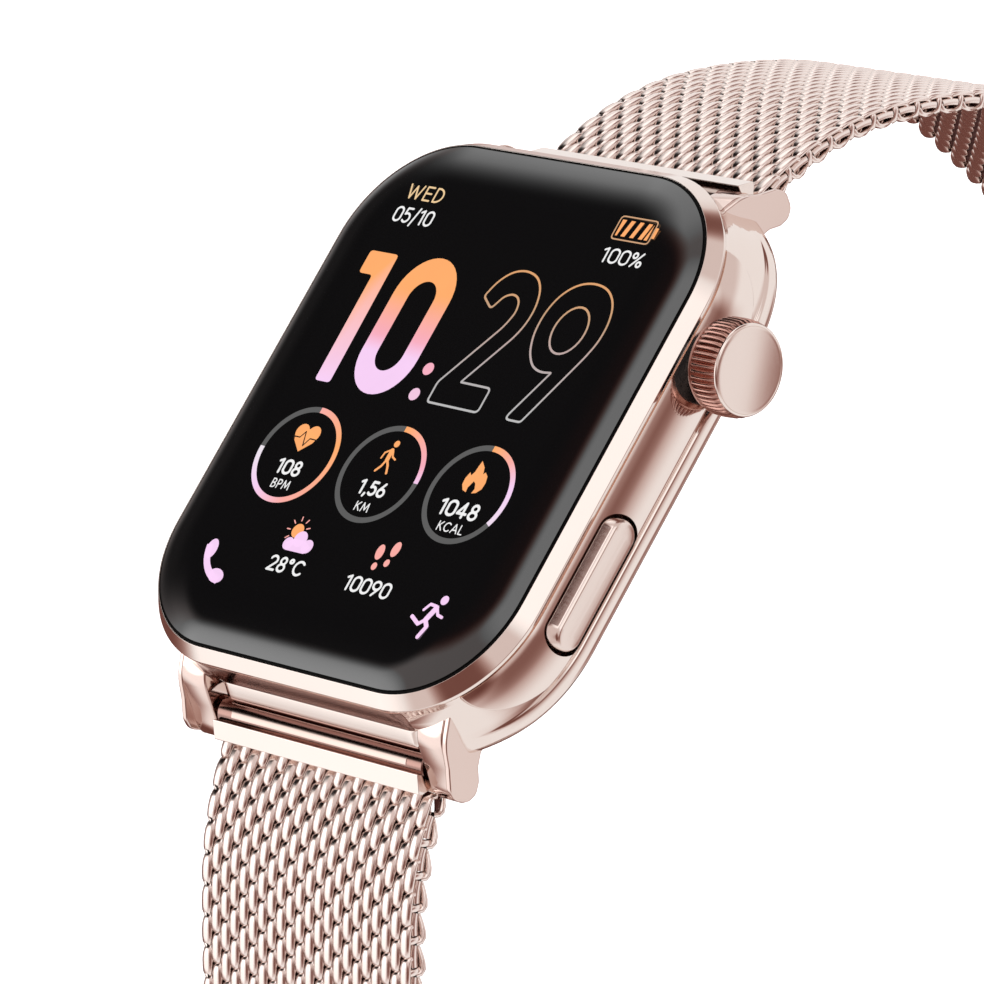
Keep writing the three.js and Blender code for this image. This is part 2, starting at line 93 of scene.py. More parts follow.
def make_camera():
    data = bpy.data.cameras.new("camera")
    data.lens, data.sensor_width = CAMERA_LENS, 36
    data.clip_start, data.clip_end = 0.01, 50
    camera = bpy.data.objects.new("camera", data)
    bpy.context.scene.collection.objects.link(camera)
    azimuth, elevation = math.radians(CAMERA_AZIMUTH), math.radians(CAMERA_ELEVATION)
    flat = math.cos(elevation)
    back = Vector((math.sin(azimuth) * flat, -math.cos(azimuth) * flat, math.sin(elevation)))
    right = Vector((math.cos(azimuth), math.sin(azimuth), 0))
    up = back.cross(right)
    roll = math.radians(CAMERA_ROLL)
    x_axis = right * math.cos(roll) + up * math.sin(roll)
    y_axis = back.cross(x_axis)
    place = CAMERA_TARGET + back * CAMERA_DISTANCE
    rows = [(x_axis[i], y_axis[i], back[i], place[i]) for i in range(3)]
    camera.matrix_world = Matrix((*rows, (0, 0, 0, 1)))
    bpy.context.scene.camera = camera


make_camera()


# ---- studio: world light, floor ----
def link_math(tree, kind, *inputs):
    node = tree.nodes.new("ShaderNodeMath")
    node.operation = kind
    for socket, value in zip(node.inputs, inputs):
        if isinstance(value, (int, float)):
            socket.default_value = value
        else:
            tree.links.new(value, socket)
    return node.outputs[0]


def soft_step(tree, value, low, high):
    node = tree.nodes.new("ShaderNodeMapRange")
    node.interpolation_type = "SMOOTHSTEP"
    tree.links.new(value, node.inputs["Value"])
    node.inputs["From Min"].default_value = low
    node.inputs["From Max"].default_value = high
    return node.outputs["Result"]


def along(tree, direction, axis):
    """How far the looked-at direction points along an axis, -1 to 1."""
    node = tree.nodes.new("ShaderNodeVectorMath")
    node.operation = "DOT_PRODUCT"
    tree.links.new(direction, node.inputs[0])
    node.inputs[1].default_value = Vector(axis).normalized()
    return node.outputs["Value"]


SKY_LIGHT, FLOOR_LIGHT = 0.78, 1.0
SOFTBOXES = [
    # direction, cosine where it starts, cosine where it is full, strength added
    ((-0.72, -0.60, 0.34), 0.84, 0.98, 0.55),
    ((-0.72, -0.40, 0.57), 0.955, 0.99, 1.1),
    ((0.75, 0.26, 0.61), 0.90, 0.985, 0.5),
    ((0.03, 0.26, 0.966), 0.93, 0.988, 0.75),
    ((-0.55, 0.70, 0.46), 0.88, 0.985, 0.6),
]
FLAGS = [
    # direction, cosine where it starts, cosine where it is full, share of light kept
    ((-0.72, -0.20, -0.66), 0.60, 0.92, 0.17),
    ((0.30, -0.76, 0.58), 0.88, 0.97, 0.25),
    ((-0.46, 0.26, 0.85), 0.93, 0.985, 0.04),
    ((-0.02, 0.95, 0.30), 0.94, 0.985, 0.25),
    ((0.30, 0.40, -0.86), 0.88, 0.99, 0.36),
]
# These darken without the warm cast, so that the glass stays neutral.
BLACK_FLAGS = [
    ((-0.72, 0.26, 0.64), 0.88, 0.99, 0.01),
    ((-0.93, 0.26, 0.26), 0.88, 0.985, 0.04),
    ((-0.72, 0.05, 0.69), 0.965, 0.99, 0.03),
]
HORIZON_BAND = {
    # soft edges upwards, to the right and to the back, and the share of light kept
    "low": (-0.5, 0.28), "high": (0.38, 0.5), "side": (0.25, 0.8), "back": (0.32, 0.6), "kept": 0.32}
WARM_GREEN, WARM_BLUE = 0.5, 0.62


def horizon_shade(tree, direction):
    """A dark band round the right-hand horizon, 0 to 1."""
    height = along(tree, direction, (0, 0, 1))
    above = soft_step(tree, height, *HORIZON_BAND["low"])
    below = soft_step(tree, height, *reversed(HORIZON_BAND["high"]))
    right = soft_step(tree, along(tree, direction, (1, 0, 0)), *HORIZON_BAND["side"])
    front = soft_step(tree, along(tree, direction, (0, 1, 0)), *reversed(HORIZON_BAND["back"]))
    side = link_math(tree, "MULTIPLY", right, front)
    return link_math(tree, "MULTIPLY", link_math(tree, "MULTIPLY", above, below), side)


def warm_color(tree, light):
    """White where the light is full, red-brown where it is dim."""
    node = tree.nodes.new("ShaderNodeCombineColor")
    dimness = link_math(tree, "MINIMUM", light, 1.0)
    tree.links.new(light, node.inputs["Red"])
    for channel, depth in (("Green", WARM_GREEN), ("Blue", WARM_BLUE)):
        cast = link_math(tree, "POWER", dimness, depth)
        tree.links.new(link_math(tree, "MULTIPLY", light, cast), node.inputs[channel])
    return node.outputs["Color"]


def flagged(tree, direction, light, flag):
    """Light with one soft-edged black card in front of it."""
    axis, start, full, kept = flag
    shade = soft_step(tree, along(tree, direction, axis), start, full)
    return link_math(tree, "MULTIPLY", light, link_math(tree, "MULTIPLY_ADD", shade, kept - 1, 1.0))


def make_world():
    world = bpy.data.worlds.new("studio")
    bpy.context.scene.world = world
    world.use_nodes = True
    tree = world.node_tree
    direction = tree.nodes.new("ShaderNodeTexCoord").outputs["Generated"]
    sky = soft_step(tree, along(tree, direction, (0, 0, 1)), -0.1, 0.1)
    light = link_math(tree, "MULTIPLY_ADD", sky, SKY_LIGHT - FLOOR_LIGHT, FLOOR_LIGHT)
    for axis, start, full, strength in SOFTBOXES:
        glow = soft_step(tree, along(tree, direction, axis), start, full)
        light = link_math(tree, "MULTIPLY_ADD", glow, strength, light)
    band = horizon_shade(tree, direction)
    kept = link_math(tree, "MULTIPLY_ADD", band, HORIZON_BAND["kept"] - 1, 1.0)
    light = link_math(tree, "MULTIPLY", light, kept)
    for flag in FLAGS:
        light = flagged(tree, direction, light, flag)
    background = tree.nodes["Background"]
    tree.links.new(warm_color(tree, light), background.inputs["Color"])
    strength = 1.0
    for flag in BLACK_FLAGS:
        strength = flagged(tree, direction, strength, flag)
    tree.links.new(strength, background.inputs["Strength"])
    bpy.context.scene.view_settings.view_transform = "Standard"


def new_material(name, color, roughness, metallic=0.0):
    material = bpy.data.materials.new(name)
    material.use_nodes = True
    shader = material.node_tree.nodes["Principled BSDF"]
    shader.inputs["Base Color"].default_value = (*color, 1)
    shader.inputs["Roughness"].default_value = roughness
    shader.inputs["Metallic"].default_value = metallic
    return material, material.node_tree, shader


FLOOR_DROP, FLOOR_HALF = 0.5 * MM, 8


def make_floor():
    z = cad_low.z - FLOOR_DROP
    corners = [(x * FLOOR_HALF, y * FLOOR_HALF, z) for x, y in ((-1, -1), (1, -1), (1, 1), (-1, 1))]
    mesh = bpy.data.meshes.new("floor")
    mesh.from_pydata(corners, [], [(0, 1, 2, 3)])
    floor = bpy.data.objects.new("floor", mesh)
    bpy.context.scene.collection.objects.link(floor)
    material, _, shader = new_material("floor_paper", (0.9, 0.9, 0.9), 0.9)
    shader.inputs["Emission Color"].default_value = (1, 1, 1, 1)
    shader.inputs["Emission Strength"].default_value = 0.75
    mesh.materials.append(material)
    floor.visible_glossy = False


make_world()
make_floor()


# ---- materials ----
def noise(tree, scale, detail=3.0, stretch=(1, 1, 1)):
    coords = tree.nodes.new("ShaderNodeTexCoord")
    mapping = tree.nodes.new("ShaderNodeMapping")
    mapping.inputs["Scale"].default_value = stretch
    tree.links.new(coords.outputs["Object"], mapping.inputs["Vector"])
    node = tree.nodes.new("ShaderNodeTexNoise")
    node.inputs["Scale"].default_value = scale
    node.inputs["Detail"].default_value = detail
    tree.links.new(mapping.outputs["Vector"], node.inputs["Vector"])
    return node.outputs["Fac"]


def spread(tree, value, low, high, target):
    """Maps a 0 to 1 value onto low to high and feeds the target socket."""
    node = tree.nodes.new("ShaderNodeMapRange")
    node.inputs["To Min"].default_value = low
    node.inputs["To Max"].default_value = high
    tree.links.new(value, node.inputs["Value"])
    tree.links.new(node.outputs["Result"], target)


def add_bump(tree, shader, height, distance, strength=1.0):
    node = tree.nodes.new("ShaderNodeBump")
    node.inputs["Distance"].default_value = distance
    node.inputs["Strength"].default_value = strength
    tree.links.new(height, node.inputs["Height"])
    tree.links.new(node.outputs["Normal"], shader.inputs["Normal"])


def tint(tree, shader, value, dark, light):
    ramp = tree.nodes.new("ShaderNodeValToRGB")
    ramp.color_ramp.elements[0].color = (*dark, 1)
    ramp.color_ramp.elements[1].color = (*light, 1)
    tree.links.new(value, ramp.inputs["Fac"])
    tree.links.new(ramp.outputs["Color"], shader.inputs["Base Color"])


def metal(name, tones, tone_grain, finish, finish_grain, stretch=(1, 1, 1), bump=None):
    """Metal whose tone and roughness wander between two values; bump is its grain and depth."""
    middle = tuple((dark + light) / 2 for dark, light in zip(*tones))
    material, tree, shader = new_material(name, middle, sum(finish) / 2, 1.0)
    spread(tree, noise(tree, finish_grain, 3, stretch), *finish, shader.inputs["Roughness"])
    tint(tree, shader, noise(tree, tone_grain), *tones)
    if bump:
        grain, depth = bump
        add_bump(tree, shader, noise(tree, grain, 2), depth, 0.3)
    return material


METALS = {
    # look: name, dark and light tone, grain of the tone, roughness range and its grain, stretch, bump
    "rose_gold": ("polished_rose_gold", ((0.81, 0.695, 0.64), (0.85, 0.735, 0.68)), 90,
                  (0.045, 0.10), 260, (1, 1, 1), (900, 0.000002)),
    "satin_gold": ("satin_rose_gold", ((0.78, 0.65, 0.595), (0.83, 0.70, 0.645)), 120,
                   (0.11, 0.22), 700, (1, 8, 8)),
    # painted shade: a darker copy of the polished tone that stands in for the shade between the fine cut teeth
    "knurl_shade_gold": ("knurled_rose_gold", ((0.41, 0.21, 0.17), (0.51, 0.29, 0.24)), 160, (0.18, 0.3), 600),
    "lug_gold": ("lug_rose_gold", ((0.72, 0.56, 0.505), (0.76, 0.60, 0.545)), 90, (0.07, 0.14), 300),
    # painted shade: a darkened copy of the polished tone, for the strip along the strap tube
    "strip_shade_gold": ("dim_rose_gold", ((0.46, 0.355, 0.31), (0.52, 0.405, 0.36)), 120, (0.08, 0.16), 300),
    # painted shade: a brown copy of the polished tone that stands in for the shade on the recessed wall and the
    # strap tube
    "painted_shade_gold": ("shaded_rose_gold", ((0.28, 0.16, 0.135), (0.33, 0.195, 0.165)), 120, (0.12, 0.2), 300),
    # painted light: a lighter copy of the polished tone, so that the wires read brighter
    "rose_mesh": ("rose_gold_wire", ((0.84, 0.71, 0.655), (0.90, 0.78, 0.73)), 210,
                  (0.14, 0.26), 420, (1, 1, 1), (2600, 0.000004)),
    "steel": ("turned_steel", ((0.56, 0.56, 0.58), (0.68, 0.68, 0.70)), 300, (0.2, 0.36), 900, (1, 12, 12)),
}


def gloss_glass():
    material, tree, shader = new_material("black_cover_glass", (0.0072, 0.0072, 0.0078), 0.03)
    spread(tree, noise(tree, 60, 4), 0.02, 0.05, shader.inputs["Roughness"])
    shader.inputs["IOR"].default_value = 1.52
    shader.inputs["Specular IOR Level"].default_value = 1.0
    return material


def moulded_plastic(name, color, roughness):
    material, tree, shader = new_material(name, color, roughness)
    grain = noise(tree, 2200, 2)
    spread(tree, noise(tree, 150), roughness - 0.06, roughness + 0.08, shader.inputs["Roughness"])
    tint(tree, shader, noise(tree, 80), color, tuple(c * 1.4 for c in color))
    add_bump(tree, shader, grain, 0.00001, 0.35)
    return material


def seal_rubber():
    material = moulded_plastic("seal_rubber", (0.003, 0.003, 0.003), 0.6)
    material.node_tree.nodes["Principled BSDF"].inputs["Specular IOR Level"].default_value = 0.1
    return material


def battery_foil():
    material, tree, shader = new_material("battery_foil", (0.55, 0.56, 0.58), 0.35, 0.8)
    add_bump(tree, shader, noise(tree, 600, 4), 0.00004, 0.5)
    spread(tree, noise(tree, 200), 0.25, 0.45, shader.inputs["Roughness"])
    return material


def gold_plate():
    material, tree, shader = new_material("contact_gold", (0.83, 0.62, 0.28), 0.2, 1.0)
    spread(tree, noise(tree, 800), 0.14, 0.3, shader.inputs["Roughness"])
    return material


MATERIALS = {look: metal(*values) for look, values in METALS.items()}
MATERIALS.update({
    # painted shade: a dark red-brown sheet inside the woven band, standing in for the shade between its wires and
    # in the holes of the case's side
    "painted_shade_core": moulded_plastic("painted_shade_core", (0.13, 0.042, 0.034), 0.55),
    "cover_glass": gloss_glass(),
    "sensor_glass": moulded_plastic("sensor_lens", (0.008, 0.009, 0.01), 0.12),
    "display": moulded_plastic("display_stack", (0.01, 0.01, 0.012), 0.15),
    "black_rubber": seal_rubber(),
    "black_plastic": moulded_plastic("moulded_plastic", (0.018, 0.018, 0.02), 0.38),
    "circuit_board": moulded_plastic("solder_mask", (0.01, 0.09, 0.05), 0.4),
    "battery_foil": battery_foil(),
    "gold_contact": gold_plate(),
})


def dress_cad_nodes():
    """Every CAD node that stays in view takes its slot's material."""
    slots = {part["node"]: part["material_slot"] for part in frame["record"]["subparts"]}
    for name, node in frame["nodes"].items():
        node.data.materials.clear()
        node.data.materials.append(MATERIALS[slots[name]])


dress_cad_nodes()


# ---- mesh helpers ----
def add_object(name, mesh, material, node, body="head", sharp=35, even=True):
    """A visible piece that rides on a body and stands for a CAD node."""
    mesh.name = name
    mesh.materials.append(MATERIALS[material])
    mesh.shade_smooth()
    mesh.set_sharp_from_angle(angle=math.radians(sharp))
    piece = bpy.data.objects.new(name, mesh)
    bpy.context.scene.collection.objects.link(piece)
    if even:
        shading = piece.modifiers.new("even_shading", "WEIGHTED_NORMAL")
        shading.keep_sharp = True
    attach(piece, body)
    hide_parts(node)
    return piece


def mesh_of(points, faces):
    mesh = bpy.data.meshes.new("piece")
    mesh.from_pydata((np.asarray(points) * MM).tolist(), [], faces)
    mesh.validate()
    return mesh


def quad_mesh(points, quads):
    """A large mesh of quads from arrays."""
    mesh = bpy.data.meshes.new("piece")
    mesh.vertices.add(len(points))
    mesh.vertices.foreach_set("co", (points * MM).astype(np.float32).ravel())
    mesh.loops.add(quads.size)
    mesh.loops.foreach_set("vertex_index", quads.astype(np.int32).ravel())
    mesh.polygons.add(len(quads))
    mesh.polygons.foreach_set("loop_start", np.arange(0, quads.size, 4, dtype=np.int32))
    mesh.update(calc_edges=True)
    return mesh


def rings_mesh(rings, closed=False):
    """Quads between equal rings; the last joins the first if closed, or both ends are capped."""
    rings = [np.asarray(ring) for ring in rings]
    count, size = len(rings), len(rings[0])
    faces = []
    for row in range(count if closed else count - 1):
        here, there = row * size, ((row + 1) % count) * size
        for step in range(size):
            after = (step + 1) % size
            faces.append((here + step, here + after, there + after, there + step))
    if not closed:
        faces.append(tuple(reversed(range(size))))
        faces.append(tuple(range((count - 1) * size, count * size)))
    return mesh_of(np.concatenate(rings), faces)


def rounded_outline(width, length, corner, arc=20, side_step=0.8):
    """Points round a rounded rectangle, counter-clockwise, with their outward normals."""
    half_w, half_l = width / 2 - corner, length / 2 - corner
    points, normals = [], []
    centres = [(half_w, half_l), (-half_w, half_l), (-half_w, -half_l), (half_w, -half_l)]
    for index, (cx, cy) in enumerate(centres):
        for step in range(arc + 1):
            turn = math.pi / 2 * (index + step / arc)
            normal = np.array((math.cos(turn), math.sin(turn)))
            points.append(np.array((cx, cy)) + corner * normal)
            normals.append(normal)
        following = np.array(centres[(index + 1) % 4]) + corner * normals[-1]
        gap = following - points[-1]
        steps = max(1, int(np.linalg.norm(gap) / side_step))
        start = points[-1]
        for step in range(1, steps):
            points.append(start + gap * step / steps)
            normals.append(normals[-1])
    return np.array(points), np.array(normals)


def fillet(points, radii, steps=5):
    """A polyline with its corners rounded by arcs; a radius of 0 keeps a corner."""
    points = [np.array(point, float) for point in points]
    result = []
    for index, (corner, radius) in enumerate(zip(points, radii)):
        if not radius:
            result.append(corner)
            continue
        before = points[index - 1] - corner
        after = points[(index + 1) % len(points)] - corner
        before_unit, after_unit = before / np.linalg.norm(before), after / np.linalg.norm(after)
        half = math.acos(np.clip(before_unit @ after_unit, -1, 1)) / 2
        reach = min(radius / math.tan(half), 0.49 * np.linalg.norm(before), 0.49 * np.linalg.norm(after))
        start, end = corner + before_unit * reach, corner + after_unit * reach
        for step in range(steps + 1):
            t = step / steps
            result.append((1 - t) ** 2 * start + 2 * t * (1 - t) * corner + t * t * end)
    return result


def level(points, z):
    """(x, y) points at a height."""
    return np.column_stack((points, np.full(len(points), z)))


def upright(x, points):
    """(y, z) points at a distance from the middle plane."""
    return np.column_stack((np.full(len(points), x), points))


def profile_mesh(outline, profile, closed=True):
    """An (offset, height) profile carried round an outline: a closed ring, or a lid with capped ends."""
    points, normals = outline
    return rings_mesh([level(points + offset * normals, z) for offset, z in profile], closed)


# ---- watch head ----
GLASS_GROWTH, GLASS_EDGE, GLASS_DROP, GLASS_ROUNDING = 0.27, 4.6, 0.95, 2.2
GLASS_SEAT, SEAL_WIDTH = 9.96, 0.42


def make_glass():
    """A flat face that falls away ever faster towards its rim."""
    outline = rounded_outline(2 * (GLASS[0] + GLASS_GROWTH), 2 * (GLASS[1] + GLASS_GROWTH),
                              GLASS_CORNER + GLASS_GROWTH, 24)
    curve = []
    for share in np.linspace(1, 0, 22):
        curve.append((-GLASS_EDGE * (1 - share), GLASS[2] - GLASS_DROP * share ** GLASS_ROUNDING))
    profile = [(-1.0, GLASS_SEAT), (0, GLASS_SEAT), *curve, (-GLASS_EDGE - 1.5, GLASS[2])]
    add_object("glass_dome", profile_mesh(outline, profile, False), "cover_glass", "cover_glass",
               sharp=60)


def make_seal():
    outline = rounded_outline(2 * SEAL[0], 2 * SEAL[1], SEAL_CORNER, 24)
    top = SEAL[2] - 0.02
    corners = [(0, GLASS_SEAT), (0, top), (-SEAL_WIDTH, top), (-SEAL_WIDTH, GLASS_SEAT)]
    mesh = profile_mesh(outline, fillet(corners, (0, 0.1, 0.1, 0)))
    add_object("seal_ring", mesh, "black_rubber", "glass_seal")


def make_bezel():
    """A flat chamfer between a fine inner lip and the upright rim."""
    outline = rounded_outline(2 * SEAL[0], 2 * SEAL[1], SEAL_CORNER, 28, 1.5)
    run = BEZEL[0] - SEAL[0]
    corners = [(0.03, 9.9), (0.03, SEAL[2]), (0.1, SEAL[2]), (run, BEZEL_RIM), (run, 9.05),
               (run - 0.35, 8.9), (-0.9, 8.9), (-0.9, 9.9)]
    radii = (0, 0.03, 0.05, 0.12, 0.08, 0.05, 0, 0)
    mesh = profile_mesh(outline, fillet(corners, radii, 6))
    add_object("bezel_frame", mesh, "rose_gold", "bezel", sharp=50)


# The case wall: curves of (height, reach beyond the bezel outline).
CASE_TOP, CASE_BOTTOM, CREASE_Z, WALL_THICKNESS = 8.92, 2.7, 5.45, 1.5
SIDE_CURVE = (
    (8.92, -0.1), (8.5, -0.1), (7.5, 0.1), (6.5, 0.5), (5.5, 0.86), (5.44, 0.9), (5.36, 1.05), (5.2, 1.14),
    (4.9, 1.2), (4.62, 1.22), (4.4, 1.19), (4.1, 1.0), (3.6, 0.45), (3.1, -0.15), (2.7, -0.6))
CORNER_CURVE = (
    (8.92, -0.1), (8.4, -0.12), (7.6, 0.0), (6.8, 0.22), (6.0, 0.48), (5.4, 0.72), (4.9, 0.9), (4.62, 0.95),
    (4.4, 0.9), (4.1, 0.72), (3.6, 0.25), (3.1, -0.3), (2.7, -0.8))
END_CURVE = (
    (8.92, -0.04), (7.5, -0.07), (6.2, -0.12), (6.14, -0.2), (6.08, -0.12), (5.8, 0.08), (5.2, 0.46),
    (5.0, 0.56), (4.9, 0.57), (4.8, 0.45), (4.72, 0.1), (4.6, -0.3), (4.4, -0.46), (2.7, -0.6))
END_PLAIN = (
    (8.92, -0.08), (8.4, -0.1), (7.6, 0.0), (6.95, 0.17), (6.85, 0.17), (6.7, 0.0), (6.4, -0.36),
    (4.4, -0.46), (2.7, -0.6))
WALL_CURVES = (SIDE_CURVE, CORNER_CURVE, END_CURVE, END_PLAIN)
# Half the width of the lip that stands out between the lugs.
LIP_HALF = 10.3
# The bulging panel on each side of the case, rounded at its lower corners.
PANEL_BULGE, PANEL_RADIUS, PANEL_WIDEST, PANEL_EDGE, PANEL_STEP = 1.12, 5.7, 5.6, 0.3, 0.26
PANEL_CENTRE_Y, PANEL_FLAT, PANEL_RUN, PANEL_TOP = -1.6, 12.0, 7.0, 9.6
SLOT_GAP, RIM_STEPS = 0.14, 3


def smooth(low, high, value):
    t = np.clip((value - low) / (high - low), 0, 1)
    return t * t * (3 - 2 * t)


def at_height(curve, z):
    """Reads a (height, reach) curve whose heights fall."""
    return np.interp(-z, [-height for height, reach in curve], [reach for height, reach in curve])


def case_reach(points, normals, z):
    side = smooth(0.55, 0.95, np.abs(normals[:, 0]))
    reach = side * at_height(SIDE_CURVE, z) + (1 - side) * at_height(CORNER_CURVE, z)
    x = np.abs(points[:, 0])
    facing_end = np.abs(normals[:, 1]) > 0.7
    lip = smooth(LIP_HALF + 0.25, LIP_HALF - 0.35, x)
    end = lip * at_height(END_CURVE, z) + (1 - lip) * at_height(END_PLAIN, z)
    between_lugs = smooth(LUG_OUTER - 0.6, LUG_INNER + 0.4, x) * facing_end
    return between_lugs * end + (1 - between_lugs) * reach


def case_outline():
    return rounded_outline(2 * BEZEL[0], 2 * BEZEL[1], BEZEL_CORNER, 44, 0.3)


def make_case():
    points, normals = case_outline()
    heights = sorted({height for curve in WALL_CURVES for height, reach in curve}, reverse=True)
    rings = []
    for z in heights:
        reach = case_reach(points, normals, z)[:, None]
        rings.append(level(points + reach * normals, z))
    for z in (CASE_BOTTOM, CASE_TOP):
        rings.append(level(points - WALL_THICKNESS * normals, z))
    carve_holes(add_object("case_wall", rings_mesh(rings, closed=True), "rose_gold", "mid_case", sharp=55))


def carve(piece, cutter):
    """Cuts a closed mesh out of a piece."""
    shading = piece.modifiers["even_shading"]
    shading.show_viewport = shading.show_render = False
    modifier = piece.modifiers.new("carve", "BOOLEAN")
    modifier.operation, modifier.solver, modifier.object = "DIFFERENCE", "EXACT", cutter
    evaluated = piece.evaluated_get(bpy.context.evaluated_depsgraph_get())
    carved = bpy.data.meshes.new_from_object(evaluated)
    piece.modifiers.remove(modifier)
    piece.data = carved
    shading.show_viewport = shading.show_render = True
    bpy.data.objects.remove(cutter)


def stadium(length, width, steps=20):
    """A slot's outline in (y, z) about its own centre."""
    radius, half = width / 2, (length - width) / 2
    ends = [(half, -90), (-half, 90)]
    points = []
    for shift, start in ends:
        for turn in np.radians(np.linspace(start, start + 180, steps + 1)):
            points.append((shift + radius * math.cos(turn), radius * math.sin(turn)))
    return np.array(points)


BUTTON_Y, BUTTON_Z = (BUTTON_LOW[1:] + BUTTON_HIGH[1:]) / 2
BUTTON_LENGTH, BUTTON_WIDTH = BUTTON_HIGH[1:] - BUTTON_LOW[1:]
BUTTON_TRIM = 0.4
BUTTON_WIDTH, BUTTON_Z = BUTTON_WIDTH - BUTTON_TRIM, BUTTON_Z - BUTTON_TRIM / 2
CROWN_Y, CROWN_Z = (CROWN_LOW[1:] + CROWN_HIGH[1:]) / 2
CROWN_HOLE, RECESS_ROOM, RECESS_WALL = 1.3, 0.04, 0.08
HOLES = {
    # half length, half width, y, z of the openings in the case's side
    "button": (BUTTON_LENGTH / 2 + SLOT_GAP, BUTTON_WIDTH / 2 + SLOT_GAP, BUTTON_Y, BUTTON_Z),
    "crown": (CROWN_HOLE, CROWN_HOLE, CROWN_Y, CROWN_Z),
}
HOLE_SPAN = (18.0, 22.0)


def hole_outline(part, grow=0.0):
    half_length, half_width, y, z = HOLES[part]
    return stadium(2 * (half_length + grow), 2 * (half_width + grow)) + (y, z)


def carve_holes(piece):
    """Opens the holes that the button and the crown stand in."""
    for part in HOLES:
        mesh = rings_mesh([upright(x, hole_outline(part)) for x in HOLE_SPAN])
        cutter = bpy.data.objects.new(f"{part}_hole", mesh)
        bpy.context.scene.collection.objects.link(cutter)
        carve(piece, cutter)


def side_base(s):
    """Points and normals of the bezel outline at distances s from the middle of its long side."""
    flat = BEZEL[1] - BEZEL_CORNER
    turn = np.clip((np.abs(s) - flat) / BEZEL_CORNER, 0, None)
    normals = np.column_stack((np.cos(turn), np.sign(s) * np.sin(turn)))
    centres = np.column_stack((np.full(len(s), BEZEL[0] - BEZEL_CORNER), np.clip(s, -flat, flat)))
    return centres + BEZEL_CORNER * normals, normals


def panel_reach(z):
    return PANEL_BULGE - PANEL_RADIUS + math.sqrt(PANEL_RADIUS ** 2 - (z - PANEL_WIDEST) ** 2)


def panel_ring(side, z):
    """One level of a side panel: its outer face, and a straight way back inside the wall."""
    down = min((PANEL_TOP - z) / (PANEL_TOP - CREASE_Z), 1)
    half = PANEL_FLAT + PANEL_RUN * math.sqrt(1 - down ** 2)
    spots = half * np.sin(np.linspace(-math.pi / 2, math.pi / 2, 181))
    points, normals = side_base(PANEL_CENTRE_Y + spots)
    inner = points - 0.9 * normals
    edge = smooth(0, PANEL_EDGE, half - np.abs(spots))
    foot = smooth(0, PANEL_EDGE, z - CREASE_Z)
    reach = panel_reach(z) - PANEL_STEP * (1 - edge * (0.35 + 0.65 * foot))
    outer = points + reach[:, None] * normals
    ring = np.concatenate((outer, inner[::-1]))
    return level(ring * (side, 1), z)


def make_side_panel(side, label):
    """A bulge whose foot is stepped finely so that its edge stays crisp."""
    foot = CREASE_Z + np.array((0, 0.05, 0.1, 0.15, 0.2, 0.3))
    heights = np.concatenate((foot, np.linspace(CREASE_Z + 0.4, 8.94, 24)))
    rings = [panel_ring(side, z) for z in heights[::-side]]
    panel = add_object(f"{label}_side_panel", rings_mesh(rings), "rose_gold", "mid_case", sharp=50)
    if side > 0:
        carve_holes(panel)


def make_recess(part):
    """The bottom and walls of a hole in the case's side, dark with painted shade."""
    outline, inner = hole_outline(part, RECESS_ROOM), hole_outline(part, RECESS_ROOM - RECESS_WALL)
    levels = ((17.8, outline), (18.9, outline), (18.9, inner), (18.05, inner))
    mesh = rings_mesh([upright(x, shape) for x, shape in levels])
    add_object(f"{part}_recess", mesh, "painted_shade_core", "mid_case")


def side_outline_mesh(outline, left, right, edge):
    """A YZ outline pulled along X with rounded rims."""
    rim = []
    for turn in np.linspace(0, math.pi / 2, RIM_STEPS + 1):
        rim.append((edge * (1 - math.sin(turn)), edge * (1 - math.cos(turn))))
    slices = [(left + depth, inset) for inset, depth in rim]
    slices += [(right - depth, inset) for inset, depth in reversed(rim)]
    return rings_mesh([upright(x, inset_outline(outline, inset)) for x, inset in slices])


def unit_rows(vectors):
    return vectors / np.maximum(np.linalg.norm(vectors, axis=1, keepdims=True), 1e-9)


def inset_outline(outline, amount):
    """The closed 2-D outline moved inward by an amount."""
    before, following = np.roll(outline, 1, 0), np.roll(outline, -1, 0)
    tangent = unit_rows(unit_rows(outline - before) + unit_rows(following - outline))
    area = np.sum(outline[:, 0] * following[:, 1] - following[:, 0] * outline[:, 1])
    inward = np.column_stack((-tangent[:, 1], tangent[:, 0])) * (1 if area > 0 else -1)
    return outline + inward * amount


LUG_CORNERS = [(18.8, 8.0), (19.7, 8.0), (22.1, 6.85), (22.9, 5.6), (23.6, 4.3), (24.3, 3.2), (24.45, 2.3),
               (23.9, 1.98), (23.1, 1.98), (22.2, 2.75), (21.4, 3.45), (18.8, 3.55)]
LUG_RADII = (0, 90, 90, 90, 90, 90, 0.5, 0.5, 0.8, 1.2, 0.8, 0)
PLATE_CORNERS = [(18.8, 8.05), (19.5, 8.05), (22.2, 6.7), (23.3, 5.35), (24.45, 4.25), (24.75, 3.4),
                 (24.2, 2.3), (23.4, 2.03), (22.6, 2.35), (21.8, 3.1), (20.9, 3.5), (18.8, 3.6)]
PLATE_RADII = (0, 90, 90, 2.0, 0.9, 0.9, 0.9, 0.8, 0.8, 0.8, 0.6, 0)
LUG_SPLIT, LUG_OVERLAP = 13.72, 0.05


def make_lugs():
    """Each lug is an inner block and a taller outer plate."""
    layers = (("lug", LUG_CORNERS, LUG_RADII, LUG_INNER, LUG_SPLIT, 0.14),
              ("lug_plate", PLATE_CORNERS, PLATE_RADII, LUG_SPLIT - LUG_OVERLAP, LUG_OUTER, 0.1))
    for sx, sy, label in ((1, 1, "a"), (-1, 1, "b"), (-1, -1, "c"), (1, -1, "d")):
        for part, corners, radii, near, far, edge in layers:
            outline = np.array(fillet(corners, radii, 9)) * (sy, 1)
            mesh = side_outline_mesh(outline, *sorted((sx * near, sx * far)), edge)
            add_object(f"{part}_{label}", mesh, "lug_gold", "mid_case", sharp=40)


WALL_BAND, WALL_PROUD, WALL_DEPTH = (6.24, 8.86), 0.03, 0.2


